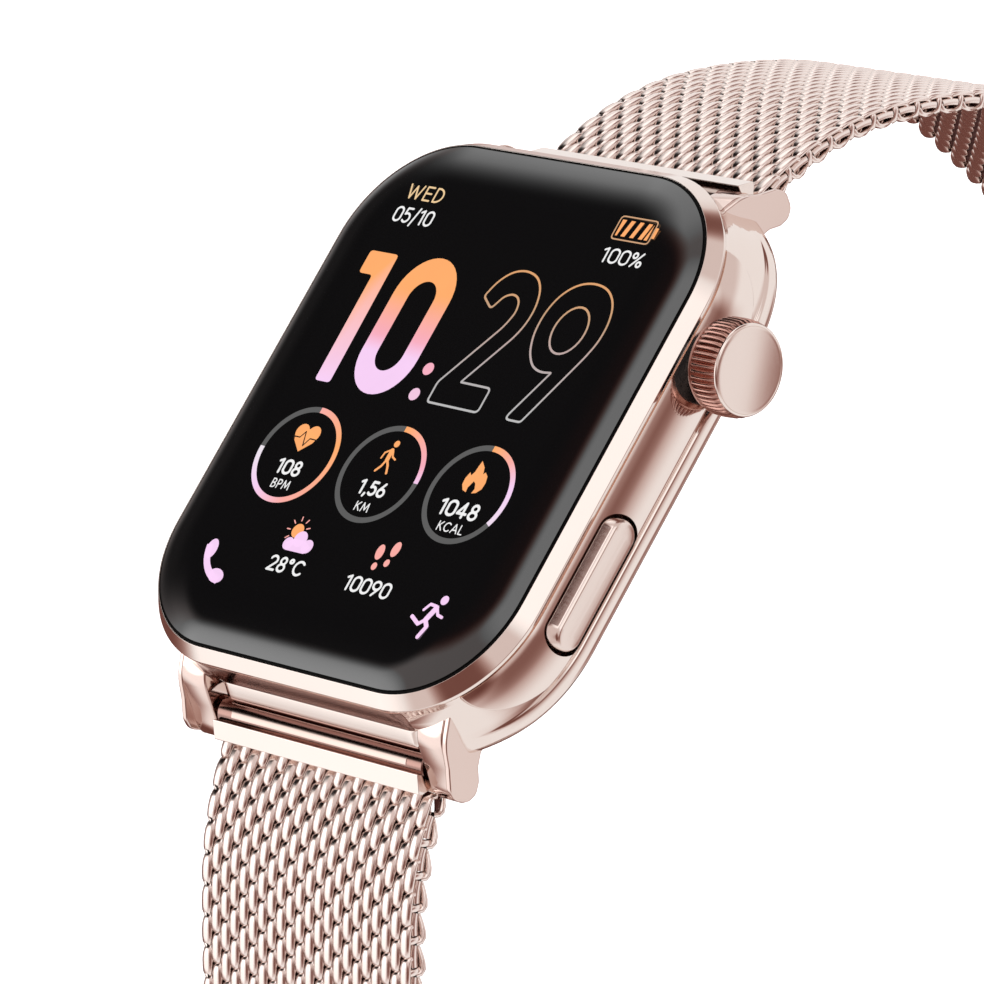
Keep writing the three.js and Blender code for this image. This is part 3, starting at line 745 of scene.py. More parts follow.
def make_end_walls():
    """The recessed wall between the lugs, under the bezel, darkened with painted shade."""
    outline, facing = case_outline()
    heights = np.linspace(*WALL_BAND, 8)
    reach = np.column_stack([case_reach(outline, facing, z) + WALL_PROUD for z in heights])
    for sign, label in ((1, "upper"), (-1, "lower")):
        between = np.flatnonzero((np.abs(outline[:, 0]) < LUG_INNER) & (sign * outline[:, 1] > 0))
        rings = []
        for spot in between[np.argsort(sign * outline[between, 0])]:
            front = outline[spot] + reach[spot][:, None] * facing[spot]
            back = front - WALL_DEPTH * facing[spot]
            face = np.column_stack((front, heights))
            rings.append(np.concatenate((face, np.column_stack((back, heights))[::-1])))
        add_object(f"{label}_end_wall", rings_mesh(rings), "painted_shade_gold", "mid_case", sharp=55)


make_glass()
make_seal()
make_bezel()
make_case()
make_end_walls()
make_lugs()
make_side_panel(1, "right")
make_side_panel(-1, "left")
make_recess("button")
make_recess("crown")


# ---- crown and side button ----
TEETH, TOOTH_DEPTH, TOOTH_SAMPLES = 48, 0.3, 10
KNURL_PROFILE = (
    # x, radius, tooth share
    (20.75, 2.4, 0), (20.8, 3.05, 0), (20.88, 3.2, 0), (20.98, 3.25, 0), (21.06, 3.2, 0), (21.1, 3.12, 0),
    (21.2, 3.3, 0.6), (21.35, 3.4, 1), (21.8, 3.43, 1), (22.4, 3.43, 1), (22.95, 3.4, 1), (23.25, 3.3, 0.7),
    (23.44, 3.2, 0.1), (23.44, 2.4, 0))
RIM_PROFILE = (
    (23.35, 2.4, 0), (23.35, 3.16, 0), (23.42, 3.22, 0), (23.5, 3.22, 0), (23.6, 3.16, 0), (23.64, 3.09, 0),
    (23.62, 3.04, 0), (23.56, 3.0, 0), (23.56, 2.4, 0))
# painted shade: a dark ring behind the knurled drum that stands in for the shadow in the gap there
SHADOW_RING_PROFILE = ((20.5, 1.0, 0), (20.5, 2.7, 0), (20.55, 2.85, 0), (20.8, 2.85, 0), (20.8, 1.0, 0))
CAP_RADIUS, CAP_EDGE_X, CAP_RISE, ROUND_SAMPLES = 3.02, 23.56, 0.2, 96


def turned_mesh(profile, samples):
    """A (x, radius, tooth share) profile turned about the crown's axis, ribbed where the share is over 0."""
    turns = np.linspace(0, 2 * math.pi, samples, endpoint=False)
    around = np.column_stack((np.cos(turns), np.sin(turns)))
    groove = 1 - np.abs(np.cos(turns * TEETH / 2))
    rings = []
    for x, radius, share in profile:
        reach = radius - TOOTH_DEPTH * share * groove
        rings.append(upright(x, reach[:, None] * around + (CROWN_Y, CROWN_Z)))
    return rings_mesh(rings)


def make_crown():
    dome = [(CAP_EDGE_X - 0.1, CAP_RADIUS, 0), (CAP_EDGE_X + 0.03, CAP_RADIUS, 0)]
    for share in np.linspace(0.985, 0.02, 16):
        dome.append((CAP_EDGE_X + 0.06 + CAP_RISE * (1 - share ** 2), CAP_RADIUS * share, 0))
    drum = turned_mesh(KNURL_PROFILE, TEETH * TOOTH_SAMPLES)
    # the drum's teeth take the darker tone of painted shade
    add_object("crown_wheel", drum, "knurl_shade_gold", "crown_knob", "crown", sharp=28)
    for name, profile, material, node, slot in (
            ("crown_rim", RIM_PROFILE, "rose_gold", "crown_cap", "rose_gold"),
            ("crown_shadow_ring", SHADOW_RING_PROFILE, "black_plastic", "crown_knob", "black_plastic"),
            ("crown_dome", dome, "satin_gold", "crown_cap", "rose_gold")):
        add_object(name, turned_mesh(profile, ROUND_SAMPLES), material, node, "crown", 40)


BUTTON_LEVELS = (
    # inset, x
    (0, 18.7), (0, 19.2), (0.02, 19.3), (0.2, 19.95), (0.24, 20.03), (0.36, 20.17), (0.44, 20.21),
    (0.7, 20.24), (1.2, 20.26))


def make_button():
    """A cap whose sides lean in, with a soft bevel round a slightly crowned face."""
    rings = []
    for inset, x in BUTTON_LEVELS:
        outline = stadium(BUTTON_LENGTH - 2 * inset, BUTTON_WIDTH - 2 * inset, 24)
        rings.append(upright(x, outline + (BUTTON_Y, BUTTON_Z)))
    add_object("button_face", rings_mesh(rings), "satin_gold", "button_cap", "side_button", sharp=25)


make_crown()
make_button()


# ---- dial print: time, rings and icons, in millimetres on the glass ----
PRINT_Z, OVERLAY_RISE = GLASS[2] + 0.015, 0.004
WHITE, GOLD, LILAC, GREY = (0.86, 0.86, 0.86), (0.85, 0.60, 0.33), (0.93, 0.63, 0.92), (0.105, 0.105, 0.105)
ORANGE, SALMON, PINK = (1.0, 0.42, 0.15), (0.96, 0.42, 0.38), (0.94, 0.42, 0.52)
TIME_FADE = ((11.2, ORANGE), (8.2, ORANGE), (6.0, SALMON), (4.6, PINK), (3.3, LILAC), (0.0, LILAC))
LINE_FADE = (
    (11.2, (0.72, 0.36, 0.16)), (8.5, (0.55, 0.34, 0.2)), (6.0, (0.5, 0.38, 0.36)),
    (3.0, (0.45, 0.42, 0.42)), (0.0, (0.5, 0.5, 0.5)))


def fade(stops, value):
    """Colour at a value between stops whose values fall."""
    places = [-stop[0] for stop in stops]
    return tuple(np.interp(-value, places, [stop[1][i] for stop in stops]) for i in range(3))


def printed_ink(name):
    """Glowing print whose colour comes from the mesh, a little uneven like lit pixels."""
    material, tree, shader = new_material(name, (0.0, 0.0, 0.0), 0.4)
    ink = tree.nodes.new("ShaderNodeVertexColor")
    ink.layer_name = "ink"
    tree.links.new(ink.outputs["Color"], shader.inputs["Emission Color"])
    spread(tree, noise(tree, 500, 2), 0.96, 1.04, shader.inputs["Emission Strength"])
    spread(tree, noise(tree, 90), 0.3, 0.5, shader.inputs["Roughness"])
    return material


MATERIALS["display_print"] = printed_ink("display_print")


class Print:
    """Flat shapes gathered into one mesh, each point with its own colour."""

    def __init__(self):
        self.points, self.faces, self.colors = [], [], []

    def patch(self, outline, color):
        start = len(self.points)
        self.points += [(x, y, PRINT_Z) for x, y in outline]
        self.colors += [color(x, y) if callable(color) else color for x, y in outline]
        self.faces.append(tuple(range(start, start + len(outline))))

    def disc(self, x, y, radius, color, tall=1.0, tilt=0.0, steps=20):
        turns = np.linspace(0, 2 * math.pi, steps, endpoint=False)
        wide, high = radius * np.cos(turns), radius * tall * np.sin(turns)
        self.patch(list(zip(x + wide * math.cos(tilt) - high * math.sin(tilt),
                            y + wide * math.sin(tilt) + high * math.cos(tilt))), color)

    def line(self, points, width, color, closed=False):
        """A pen stroke with round joins and ends."""
        points = [np.array(point, float) for point in points]
        pairs = list(zip(points, points[1:] + points[:1])) if closed else list(zip(points, points[1:]))
        for start, end in pairs:
            along_pen = (end - start) / max(np.linalg.norm(end - start), 1e-6)
            across = np.array((-along_pen[1], along_pen[0])) * width / 2
            self.patch([start - across, end - across, end + across, start + across], color)
        for x, y in points:
            self.disc(x, y, width / 2, color, steps=10)

    def taper(self, points, widths, color):
        """A stroke that changes width, as one outline."""
        points, widths = np.array(points, float), np.array(widths)[:, None] / 2
        tangent = np.gradient(points, axis=0)
        tangent /= np.linalg.norm(tangent, axis=1, keepdims=True)
        across = np.column_stack((-tangent[:, 1], tangent[:, 0])) * widths
        for i in range(len(points) - 1):
            j = i + 1
            self.patch([points[i] - across[i], points[j] - across[j], points[j] + across[j],
                        points[i] + across[i]], color)

    def band(self, outer, inner, color):
        """A strip between two outlines of as many points."""
        count = len(outer)
        for i in range(count):
            j = (i + 1) % count
            self.patch([outer[i], outer[j], inner[j], inner[i]], color)

    def overlay(self, other):
        """Lays another print just above this one."""
        start = len(self.points)
        self.points += [(x, y, z + OVERLAY_RISE) for x, y, z in other.points]
        self.colors += other.colors
        self.faces += [tuple(start + i for i in face) for face in other.faces]

    def finish(self, name):
        mesh = mesh_of(self.points, self.faces)
        layer = mesh.color_attributes.new("ink", "FLOAT_COLOR", "POINT")
        for entry, color in zip(layer.data, self.colors):
            entry.color = (*color, 1)
        add_object(name, mesh, "display_print", "cover_glass", even=False)


def oval(x, y, rx, ry, start=0, end=360, steps=16):
    turns = np.radians(np.linspace(start, end, steps + 1))
    return [(x + rx * math.cos(turn), y + ry * math.sin(turn)) for turn in turns]


# Letters and figures as pen strokes in a cell 100 units high; the first value is the cell's width.
GLYPHS = {
    "0": (60, [oval(30, 70, 27, 27, 0, 180) + oval(30, 30, 27, 27, 180, 360) + [(57, 70)]]),
    "1": (36, [[(2, 84), (25, 97), (25, 3)]]),
    "2": (60, [oval(30, 70, 25, 27, 160, -30, 12) + [(6, 3), (57, 3)]]),
    "4": (66, [[(42, 3), (42, 97), (4, 27), (62, 27)]]),
    "5": (60, [[(53, 97), (14, 97), (9, 58)] + oval(28, 33, 27, 30, 125, -140, 14)]),
    "6": (60, [[(42, 97), (9, 47)] + oval(30, 30, 26, 27, 150, 510, 18)]),
    "8": (58, [oval(29, 74, 20, 23), oval(29, 27, 25, 25)]),
    "9": (60, [[(18, 3), (51, 53)] + oval(30, 70, 26, 27, -30, -390, 18)]),
    "%": (80, [oval(18, 78, 14, 18, 0, 360, 10), oval(62, 22, 14, 18, 0, 360, 10), [(68, 97), (12, 3)]]),
    "/": (42, [[(38, 105), (4, -16)]]),
    ",": (20, [[(12, 5), (5, -14)]]),
    "o": (32, [oval(16, 84, 12, 12, 0, 360, 10)]),
    "W": (98, [[(3, 97), (27, 3), (49, 90), (71, 3), (95, 97)]]),
    "E": (56, [[(52, 97), (8, 97), (8, 3), (52, 3)], [(8, 52), (48, 52)]]),
    "D": (66, [[(26, 3), (8, 3), (8, 97), (26, 97)] + oval(20, 50, 41, 47, 80, -80, 12) + [(26, 3)]]),
    "B": (58, [[(8, 3), (8, 97), (28, 97)] + oval(28, 75, 20, 22, 90, -90, 8) + [(8, 53)],
               [(28, 53)] + oval(28, 28, 25, 25, 90, -90, 8) + [(8, 3)]]),
    "P": (56, [[(8, 3), (8, 97), (28, 97)] + oval(28, 72, 23, 25, 90, -90, 8) + [(8, 47)]]),
    "M": (90, [[(6, 3), (17, 97), (45, 20), (73, 97), (84, 3)]]),
    "K": (62, [[(8, 3), (8, 97)], [(54, 97), (10, 45)], [(22, 58), (58, 3)]]),
    "C": (76, [oval(42, 50, 36, 46, 45, 315, 16)]),
    "A": (74, [[(3, 3), (37, 97), (71, 3)], [(16, 33), (58, 33)]]),
    "L": (48, [[(8, 97), (8, 3), (46, 3)]]),
}
CELL_HEIGHT, LETTER_GAP = 100, 14


def write(sheet, text, left, right, top, bottom, pen, color):
    """Sets a text so that it fills a box exactly."""
    width = sum(GLYPHS[letter][0] for letter in text) + LETTER_GAP * (len(text) - 1)
    across, up = (right - left) / width, (top - bottom) / CELL_HEIGHT
    place = left
    for letter in text:
        cell, strokes = GLYPHS[letter]
        for stroke in strokes:
            sheet.line([(place + x * across, bottom + y * up) for x, y in stroke], pen, color)
        place += (cell + LETTER_GAP) * across


ONE = [(-12.75, 10.9), (-9.8, 10.9), (-9.62, 0.17), (-11.2, 0.17), (-11.3, 9.0), (-12.75, 9.0)]
ZERO = {"x": -5.35, "top": 11.25, "bottom": -0.07, "outer": 2.93, "inner": 1.33, "cap": 1.95, "bend": 1.12}
TWO = [(0.5, 9.0), (1.05, 10.35), (2.0, 11.25), (3.2, 11.52), (4.55, 11.2), (5.45, 10.25), (5.87, 8.9),
       (5.83, 7.6), (5.42, 6.42), (2.75, 2.23), (5.83, 2.2), (5.83, 0.22), (0.6, 0.27), (0.6, 1.9),
       (3.92, 7.05), (4.27, 8.2), (4.1, 8.95), (3.7, 9.4), (3.08, 9.55), (2.4, 9.27), (1.75, 8.15)]
TWO_RADII = (0.35, 9, 9, 9, 9, 9, 9, 9, 9, 0.06, 0.35, 0.4, 0.3, 0.9, 9, 9, 9, 9, 9, 9, 0.3)
NINE = [(8.55, 0.18), (10.2, 0.18), (12.8, 5.8), (13.27, 7.1), (13.33, 8.7), (12.8, 10.2), (11.7, 11.2),
        (10.17, 11.52), (8.65, 11.2), (7.5, 10.15), (6.95, 8.6), (7.0, 6.85), (7.6, 5.4), (8.5, 4.45),
        (9.5, 4.13), (10.55, 4.25)]
NINE_RADII = (0.35, 0.35, 9, 9, 9, 9, 9, 9, 9, 9, 9, 9, 9, 9, 9, 0.06)
OUTLINE_PEN = 0.17


def time_ink(x, y):
    return fade(TIME_FADE, y)


def line_ink(x, y):
    return fade(LINE_FADE, y)


def zero_outline(radius, rise):
    """One outline of the tall figure 0, its ends moved in by a rise."""
    x, bend = ZERO["x"], radius * ZERO["bend"]
    high, low = ZERO["top"] - rise - bend, ZERO["bottom"] + rise + bend
    sides = np.linspace(high, low, 12)[1:-1]
    return (oval(x, high, radius, bend, 0, 180, 20) + [(x - radius, y) for y in sides]
            + oval(x, low, radius, bend, 180, 360, 20) + [(x + radius, y) for y in sides[::-1]])


def print_time(sheet):
    sheet.patch(fillet(ONE, (0.3,) * 6, 3), time_ink)
    sheet.band(zero_outline(ZERO["outer"], 0), zero_outline(ZERO["inner"], ZERO["cap"]), time_ink)
    for y in (2.72, 0.63):
        sheet.disc(-0.95, y, 0.5, fade(((3.0, PINK), (0.0, (0.86, 0.6, 0.8))), y), steps=24)
    nine_eye = oval(10.1, 7.63, 1.54, 1.89, steps=32)[:-1]
    for outline in (fillet(TWO, TWO_RADII, 5), fillet(NINE, NINE_RADII, 5), nine_eye):
        sheet.line(outline, OUTLINE_PEN, line_ink, closed=True)


TEXTS = (
    # text, left, right, top, bottom, pen
    ("05/10", -12.45, -8.45, 14.7, 13.5, 0.17), ("100%", 9.3, 13.3, 14.37, 13.22, 0.16),
    ("108", -10.1, -7.7, -6.22, -7.33, 0.21), ("BPM", -9.8, -7.9, -7.8, -8.5, 0.1),
    ("1,56", -1.25, 1.35, -6.42, -7.48, 0.21), ("KM", -0.72, 0.72, -8.1, -8.8, 0.1),
    ("1048", 7.15, 10.93, -6.48, -7.65, 0.22), ("KCAL", 7.85, 10.43, -8.16, -8.87, 0.1),
    ("28oC", -5.83, -2.22, -13.42, -14.57, 0.19), ("10090", 2.33, 6.85, -13.53, -14.68, 0.19))


def print_texts(sheet):
    write(sheet, "WED", -12.35, -8.6, 16.62, 15.45, 0.15, GOLD)
    for text in TEXTS:
        write(sheet, *text, WHITE)


BATTERY_LOW, BATTERY_HIGH = 15.38, 16.68


def print_battery(sheet):
    case = fillet([(9.2, 15.1), (12.86, 15.1), (12.86, 16.95), (9.2, 16.95)], (0.3,) * 4, 3)
    sheet.line(case, 0.11, (0.62, 0.36, 0.2), closed=True)
    sheet.patch([(12.92, 15.6), (13.18, 15.6), (13.18, 16.45), (12.92, 16.45)], ORANGE)
    # each bar: left, how far its top left leans, right, how far its bottom right leans back
    for left, lean, right, back in ((9.45, 0, 9.85, 0.22), (10.0, 0.32, 10.72, 0.32),
                                    (10.88, 0.32, 11.58, 0.32), (11.74, 0.32, 12.44, 0.32)):
        sheet.patch([(left, BATTERY_LOW), (right - back, BATTERY_LOW), (right, BATTERY_HIGH),
                     (left + lean, BATTERY_HIGH)], ORANGE)
    sheet.patch([(12.3, BATTERY_LOW), (12.62, BATTERY_LOW), (12.62, BATTERY_HIGH)], ORANGE)


RING_SPOTS = ((-8.92, -5.73), (0.04, -5.79), (9.12, -5.85))
RING_RADIUS, RING_PEN, RING_STEPS = 3.7, 0.44, 90
RING_SWEEPS = (
    (270, ((0, SALMON), (0.25, ORANGE), (0.6, SALMON), (0.8, LILAC), (1, (0.86, 0.8, 0.86)))),
    (92, ((0, ORANGE), (0.4, SALMON), (0.75, PINK), (1, LILAC))),
    (118, ((0, ORANGE), (0.3, SALMON), (0.6, LILAC), (1, (0.86, 0.72, 0.86)))))


def print_rings(sheet):
    outside, inside = RING_RADIUS + RING_PEN / 2, RING_RADIUS - RING_PEN / 2
    for (x, y), (sweep, stops) in zip(RING_SPOTS, RING_SWEEPS):
        for step in range(RING_STEPS):
            start, end = 90 - 360 * step / RING_STEPS, 90 - 360 * (step + 1) / RING_STEPS
            share = (90 - start) / sweep
            color = fade([(-place, ink) for place, ink in stops], -share) if share < 1 else GREY
            outer = oval(x, y, outside, outside, start, end, 1)
            sheet.patch(outer + oval(x, y, inside, inside, end, start, 1), color)


def print_strokes(sheet, strokes, color, x=0.0, y=0.0):
    for points, width in strokes:
        sheet.line([(x + px, y + py) for px, py in points], width, color)


HEART = [(-1.22, 0.25), (0, 0.75), (1.22, 0.25), (0.95, -0.3), (0, -1.12), (-0.95, -0.3)]
HEART_BEAT = [([(-1.3, -0.02), (-0.55, -0.02), (-0.22, 0.5), (0.15, -0.62), (0.5, 0.02), (1.3, 0.0)], 0.1)]


def print_heart(sheet, x, y):
    for side in (-1, 1):
        sheet.disc(x + 0.61 * side, y + 0.43, 0.64, ORANGE)
    sheet.patch([(x + px, y + py) for px, py in HEART], ORANGE)
    trace = Print()
    print_strokes(trace, HEART_BEAT, (0.004, 0.004, 0.004), x, y)
    sheet.overlay(trace)


WALKER = (
    ([(-0.12, 0.8), (-0.12, 0.05)], 0.4), ([(-0.2, 0.85), (-0.68, 0.55), (-0.78, 0.1)], 0.15),
    ([(0.05, 0.75), (0.25, 0.35), (0.62, 0.18)], 0.15), ([(-0.05, 0.0), (0.25, -0.4), (0.48, -0.95)], 0.2),
    ([(-0.18, -0.02), (-0.35, -0.5), (-0.7, -0.92)], 0.2))


def print_walker(sheet, x, y):
    sheet.disc(x, y + 1.36, 0.27, ORANGE)
    print_strokes(sheet, WALKER, ORANGE, x, y)


FLAME = [(8.75, -3.2), (9.25, -3.65), (9.45, -4.15), (9.6, -3.98), (9.95, -4.25), (10.1, -4.75),
         (10.05, -5.25), (9.7, -5.62), (9.3, -5.72), (9.4, -5.35), (9.2, -4.95), (8.95, -4.8), (8.8, -5.15),
         (8.7, -5.35), (8.75, -5.72), (8.35, -5.6), (8.05, -5.2), (8.02, -4.7), (8.2, -4.2), (8.42, -4.42),
         (8.6, -4.1), (8.65, -3.65)]
SUN_RAYS = (60, 100, 140, 180, 220, 20)
CLOUD_PUFFS = ((-4.05, -11.85, 0.64), (-3.05, -12.28, 0.55), (-5.0, -12.35, 0.5))
CLOUD_BASE = [(-5.0, -12.87), (-3.05, -12.87), (-2.7, -12.3), (-3.5, -11.9), (-4.6, -11.9), (-5.3, -12.3)]


def print_weather(sheet, x, y):
    """A sun with short rays, half behind a cloud."""
    sheet.disc(x, y, 0.56, ORANGE)
    for turn in np.radians(SUN_RAYS):
        sin, cos = math.sin(turn), math.cos(turn)
        sheet.line([(x + 0.8 * cos, y + 0.8 * sin), (x + 1.1 * cos, y + 1.1 * sin)], 0.1, SALMON)
    cloud = Print()
    for puff in CLOUD_PUFFS:
        cloud.disc(*puff, LILAC)
    cloud.patch(CLOUD_BASE, LILAC)
    sheet.overlay(cloud)


def print_steps(sheet):
    """Two footprints, each a sole and a heel."""
    for x, y, heel_x, heel_y, tilt in ((3.97, -11.42, 4.13, -12.53, 0.08), (5.3, -10.97, 5.13, -12.1, -0.1)):
        sheet.disc(x, y, 0.38, SALMON, 1.6, tilt)
        sheet.disc(heel_x, heel_y, 0.26, SALMON, 1.15, tilt)


def print_phone(sheet):
    """A curved handle between two ear pieces."""
    curve = oval(-9.3, -13.2, 3.1, 3.1, 190, 262, 10)
    sheet.taper(curve, np.interp(range(11), (0, 5, 10), (0.6, 0.55, 0.6)), LILAC)
    sheet.disc(-11.98, -14.05, 0.55, LILAC, 1.45, 0.1)
    sheet.disc(-10.15, -15.95, 0.55, LILAC, 1.45, 1.35)


RUNNER = (
    ([(11.85, -14.45), (11.45, -15.4)], 0.5), ([(11.75, -14.3), (11.15, -14.25), (10.8, -14.75)], 0.24),
    ([(12.0, -14.5), (12.3, -14.9), (12.78, -15.0)], 0.24),
    ([(11.4, -15.4), (11.85, -15.9), (11.55, -16.75)], 0.36),
    ([(11.4, -15.45), (10.95, -15.85), (10.05, -15.4)], 0.3))


def print_runner(sheet):
    sheet.disc(12.22, -13.75, 0.36, LILAC)
    print_strokes(sheet, RUNNER, LILAC)


def make_dial():
    sheet = Print()
    print_time(sheet)
    print_battery(sheet)
    print_rings(sheet)
    print_texts(sheet)
    print_heart(sheet, -8.95, -4.35)
    print_walker(sheet, 0.03, -4.68)
    sheet.patch(FLAME, ORANGE)
    print_weather(sheet, -4.75, -11.28)
    print_steps(sheet)
    print_phone(sheet)
    print_runner(sheet)
    sheet.finish("dial_print")


make_dial()


# ---- strap end pieces ----
TUBE_RADIUS, TUBE_SIDES = 1.15, 36
BAR_CORNERS = [(0.98, 0.55), (1.2, 1.02), (2.24, -0.03), (2.1, -0.32), (1.6, -0.62), (1.3, -2.3),
               (0.9, -2.3), (0.6, -0.8)]
BAR_RADII = (0.05, 0.07, 0.09, 0.1, 0.2, 0.1, 0.1, 0.2)
STRIP_HALF, STRIP_TURNS, STRIP_PROUD, STRIP_DEPTH = 9.2, (52, 78), 0.03, 0.1


def arc_points(radius, start, end, steps):
    turns = np.radians(np.linspace(start, end, steps))
    return np.column_stack((radius * np.cos(turns), radius * np.sin(turns)))


def make_end_piece(label, side):
    """A tube round the spring bar with a lighter strip along it, both darkened with painted shade, and a flat bar
    in front.
    """
    half = node_box(f"{label}_end_piece")[1][0]
    circle = arc_points(TUBE_RADIUS, 0, 360, TUBE_SIDES + 1)[:-1]
    start, end = STRIP_TURNS
    strip = np.concatenate((arc_points(TUBE_RADIUS + STRIP_PROUD, start, end, 8),
                            arc_points(TUBE_RADIUS - STRIP_DEPTH, end, start, 8)))
    bar = np.array(fillet(BAR_CORNERS, BAR_RADII))
    for part, material, shape, reach, edge in (("hinge_tube", "painted_shade_gold", circle, half, 0.12),
                                               ("front_bar", "rose_gold", bar, half, 0.05),
                                               ("tube_strip", "strip_shade_gold", strip, STRIP_HALF, 0.02)):
        mesh = side_outline_mesh((shape + (PIVOT_Y, PIVOT_Z)) * (side, 1), -reach, reach, edge)
        add_object(f"{label}_{part}", mesh, material, f"{label}_end_piece", f"{label}_strap", sharp=40)


make_end_piece("upper", 1)
make_end_piece("lower", -1)


# ---- mesh band ----
# Each strap bends in arcs of (radius, degrees).
UPPER_ARCS = ((27.5, 29), (56, 13), (28.5, 27), (115, 4), (150, 6))
LOWER_ARCS = ((25, 21), (165, 3), (27, 49), (150, 12))
STRAP_START_Y, STRAP_START_Z, STRAP_HEADING = 25.0, 1.85, 17
LEAD_IN = 1.85
WIRE_WIDE, WIRE_NARROW, WIRE_THICK = 0.53, 0.19, 0.2
COIL_HEIGHT, COIL_FLAT, COIL_REACH, COIL_LEAN = 0.62, 1.8, 1.2, 0.27
ROW_STEP, TURN_STEP, TURNS = 1.125, 2.0, 11
STEPS_PER_TURN, WIRE_SIDES = 16, 10
EDGE_BAR, EDGE_RING, EDGE_WIRE, EDGE_INSET, EDGE_STEPS = 0.78, 0.5, 0.27, 0.28, 9
# A direction close to straight across the band, which the wires lie flat to.
ACROSS = np.array((1.0, 0.02, 0.02))


def strap_path(arcs, bottom, end_y):
    """Arc length, y, z and heading in degrees along a strap's centre line."""
    y, z, heading, travelled = STRAP_START_Y, STRAP_START_Z, STRAP_HEADING, 0.0
    lead = math.radians(heading)
    rows = [(-2.0, y - 2 * math.cos(lead), z + 2 * math.sin(lead), heading), (0.0, y, z, heading)]
    last_turn = 180 - heading - sum(turn for radius, turn in arcs)
    for radius, turn in (*arcs, (None, last_turn)):
        radius = radius or (z - bottom) / (1 + math.cos(math.radians(heading)))
        for _ in range(turn):
            before, after = math.radians(heading), math.radians(heading + 1)
            y += radius * (math.sin(after) - math.sin(before))
            z -= radius * (math.cos(before) - math.cos(after))
            travelled += radius * math.radians(1)
            heading += 1
            rows.append((travelled, y, z, heading))
    rows.append((travelled + y - end_y, end_y, z, heading))
    return np.array(rows)


def lay_on_strap(path, side, across, along_strap, lift):
    """Places points given across, along and off the strap's centre line."""
    y = np.interp(along_strap, path[:, 0], path[:, 1])
    z = np.interp(along_strap, path[:, 0], path[:, 2])
    heading = np.radians(np.interp(along_strap, path[:, 0], path[:, 3]))
    return np.stack((across + 0 * y, side * (y + lift * np.sin(heading)), z + lift * np.cos(heading)), -1)


def wire_mesh(lines, widths, thickness):
    """Flattened wire along lines of points (count, points, 3); widths are half widths in the band's plane."""
    count, length = lines.shape[:2]
    tangent = np.gradient(lines, axis=1)
    tangent /= np.linalg.norm(tangent, axis=2, keepdims=True)
    flat = ACROSS - tangent * (tangent @ ACROSS)[..., None]
    flat /= np.linalg.norm(flat, axis=2, keepdims=True)
    lift = np.cross(tangent, flat)
    turns = np.linspace(0, 2 * math.pi, WIRE_SIDES, endpoint=False)
    wide = np.broadcast_to(widths, (count, length))[..., None, None]
    rise = np.sign(np.sin(turns)) * np.abs(np.sin(turns)) ** 0.6
    ring = flat[:, :, None] * np.cos(turns)[:, None] * wide + lift[:, :, None] * rise[:, None] * thickness
    points = (lines[:, :, None] + ring).reshape(-1, 3)
    start = (np.arange(count)[:, None, None] * length + np.arange(length - 1)[None, :, None]) * WIRE_SIDES
    step = np.arange(WIRE_SIDES)[None, None, :]
    near, far = start + step, start + (step + 1) % WIRE_SIDES
    quads = np.stack([near, far, far + WIRE_SIDES, near + WIRE_SIDES], -1).reshape(-1, 4)
    return quad_mesh(points, quads)


def coil_lines(path, side, half, rows):
    """One flattened coil per row, running across the band; alternate rows are shifted by half a turn."""
    turn = np.linspace(0, 2 * math.pi * TURNS, TURNS * STEPS_PER_TURN + 1)
    lines = []
    for row in range(rows):
        phase = turn + math.pi * (row % 2)
        across = -half + TURN_STEP * turn / (2 * math.pi) + COIL_LEAN * np.cos(phase)
        across = np.clip(across, 0.15 - half, half - 0.15)
        place = row * ROW_STEP + COIL_REACH - LEAD_IN - side * COIL_REACH * np.cos(phase)
        lift = COIL_HEIGHT * np.tanh(COIL_FLAT * np.sin(phase))
        lines.append(lay_on_strap(path, side, across, place, lift))
    widths = WIRE_NARROW + (WIRE_WIDE - WIRE_NARROW) * np.abs(np.sin(turn)) ** 0.7
    return np.array(lines), widths


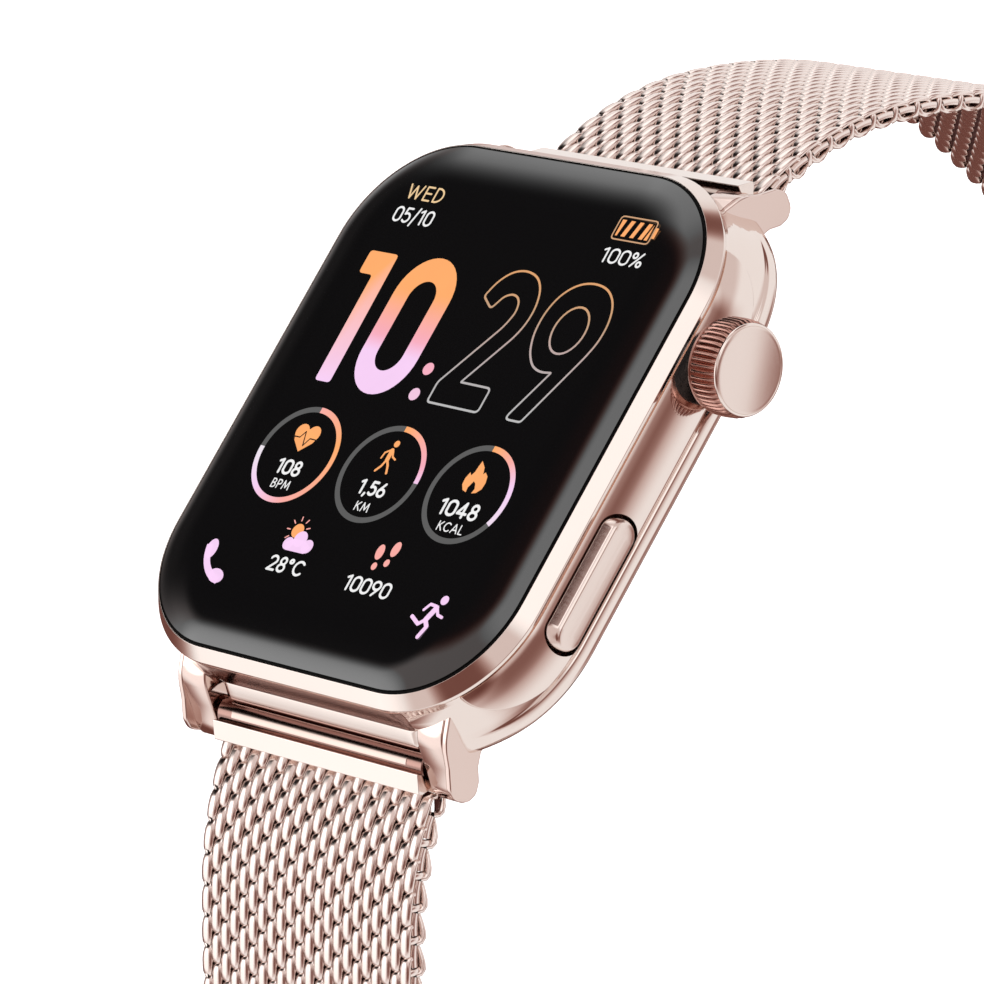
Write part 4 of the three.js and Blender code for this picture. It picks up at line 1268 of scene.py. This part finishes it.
def edge_lines(path, side, half, rows):
    """Straight bars and upright rings that close the band's two edges."""
    bars, rings = [], []
    sweep = np.linspace(-1, 1, EDGE_STEPS)
    turn = sweep * math.pi * 0.62
    for sign in (-1, 1):
        edge = sign * (half - EDGE_INSET)
        ring_across = edge + sign * (0.24 * np.cos(turn) - 0.16)
        for pair in range(rows // 2):
            centre = (2 * pair + 1) * ROW_STEP + 0.3
            bars.append(lay_on_strap(path, side, np.full(EDGE_STEPS, edge), centre + EDGE_BAR * sweep,
                                     0.05 * (1 - sweep ** 2)))
            rings.append(lay_on_strap(path, side, ring_across, centre + ROW_STEP + 0.12 * sweep,
                                      EDGE_RING * np.sin(turn)))
    return np.array(bars), np.array(rings)


def shade_sheet_mesh(path, side, half, end):
    """A thin dark sheet in the middle of the band: painted shade that shows between the wires."""
    across = np.array((-half, half, half, -half))
    lift = np.array((0.1, 0.1, -0.1, -0.1))
    return rings_mesh([lay_on_strap(path, side, across, np.full(4, place), lift)
                       for place in np.linspace(-1.1, end, 90)])


def make_mesh_strap(label, side, arcs):
    """Rows of coiled wire with closed edges, over a dark sheet of painted shade that shows between them."""
    node = f"{label}_mesh_strap"
    low, high = node_box(node)
    half = (high[0] - low[0]) / 2
    path = strap_path(arcs, low[2] + 1, low[1] if side > 0 else -high[1])
    rows = int((path[-1, 0] + LEAD_IN - 2 * COIL_REACH) / ROW_STEP)
    lines, widths = coil_lines(path, side, half, rows)
    bars, rings = edge_lines(path, side, half, rows)
    # painted shade: a dark sheet that shows between the wires
    core = shade_sheet_mesh(path, side, half - 0.6, path[-1, 0] - 0.5)
    for part, mesh, material, sharp, even in (
            ("woven_band", wire_mesh(lines, widths, WIRE_THICK), "rose_mesh", 80, False),
            ("edge_bars", wire_mesh(bars, EDGE_WIRE, EDGE_WIRE), "rose_mesh", 80, False),
            ("edge_rings", wire_mesh(rings, EDGE_WIRE, EDGE_WIRE), "rose_mesh", 80, False),
            ("painted_shade_core", core, "painted_shade_core", 35, True)):
        add_object(f"{label}_{part}", mesh, material, node, f"{label}_strap", sharp, even)


make_mesh_strap("upper", 1, UPPER_ARCS)
make_mesh_strap("lower", -1, LOWER_ARCS)
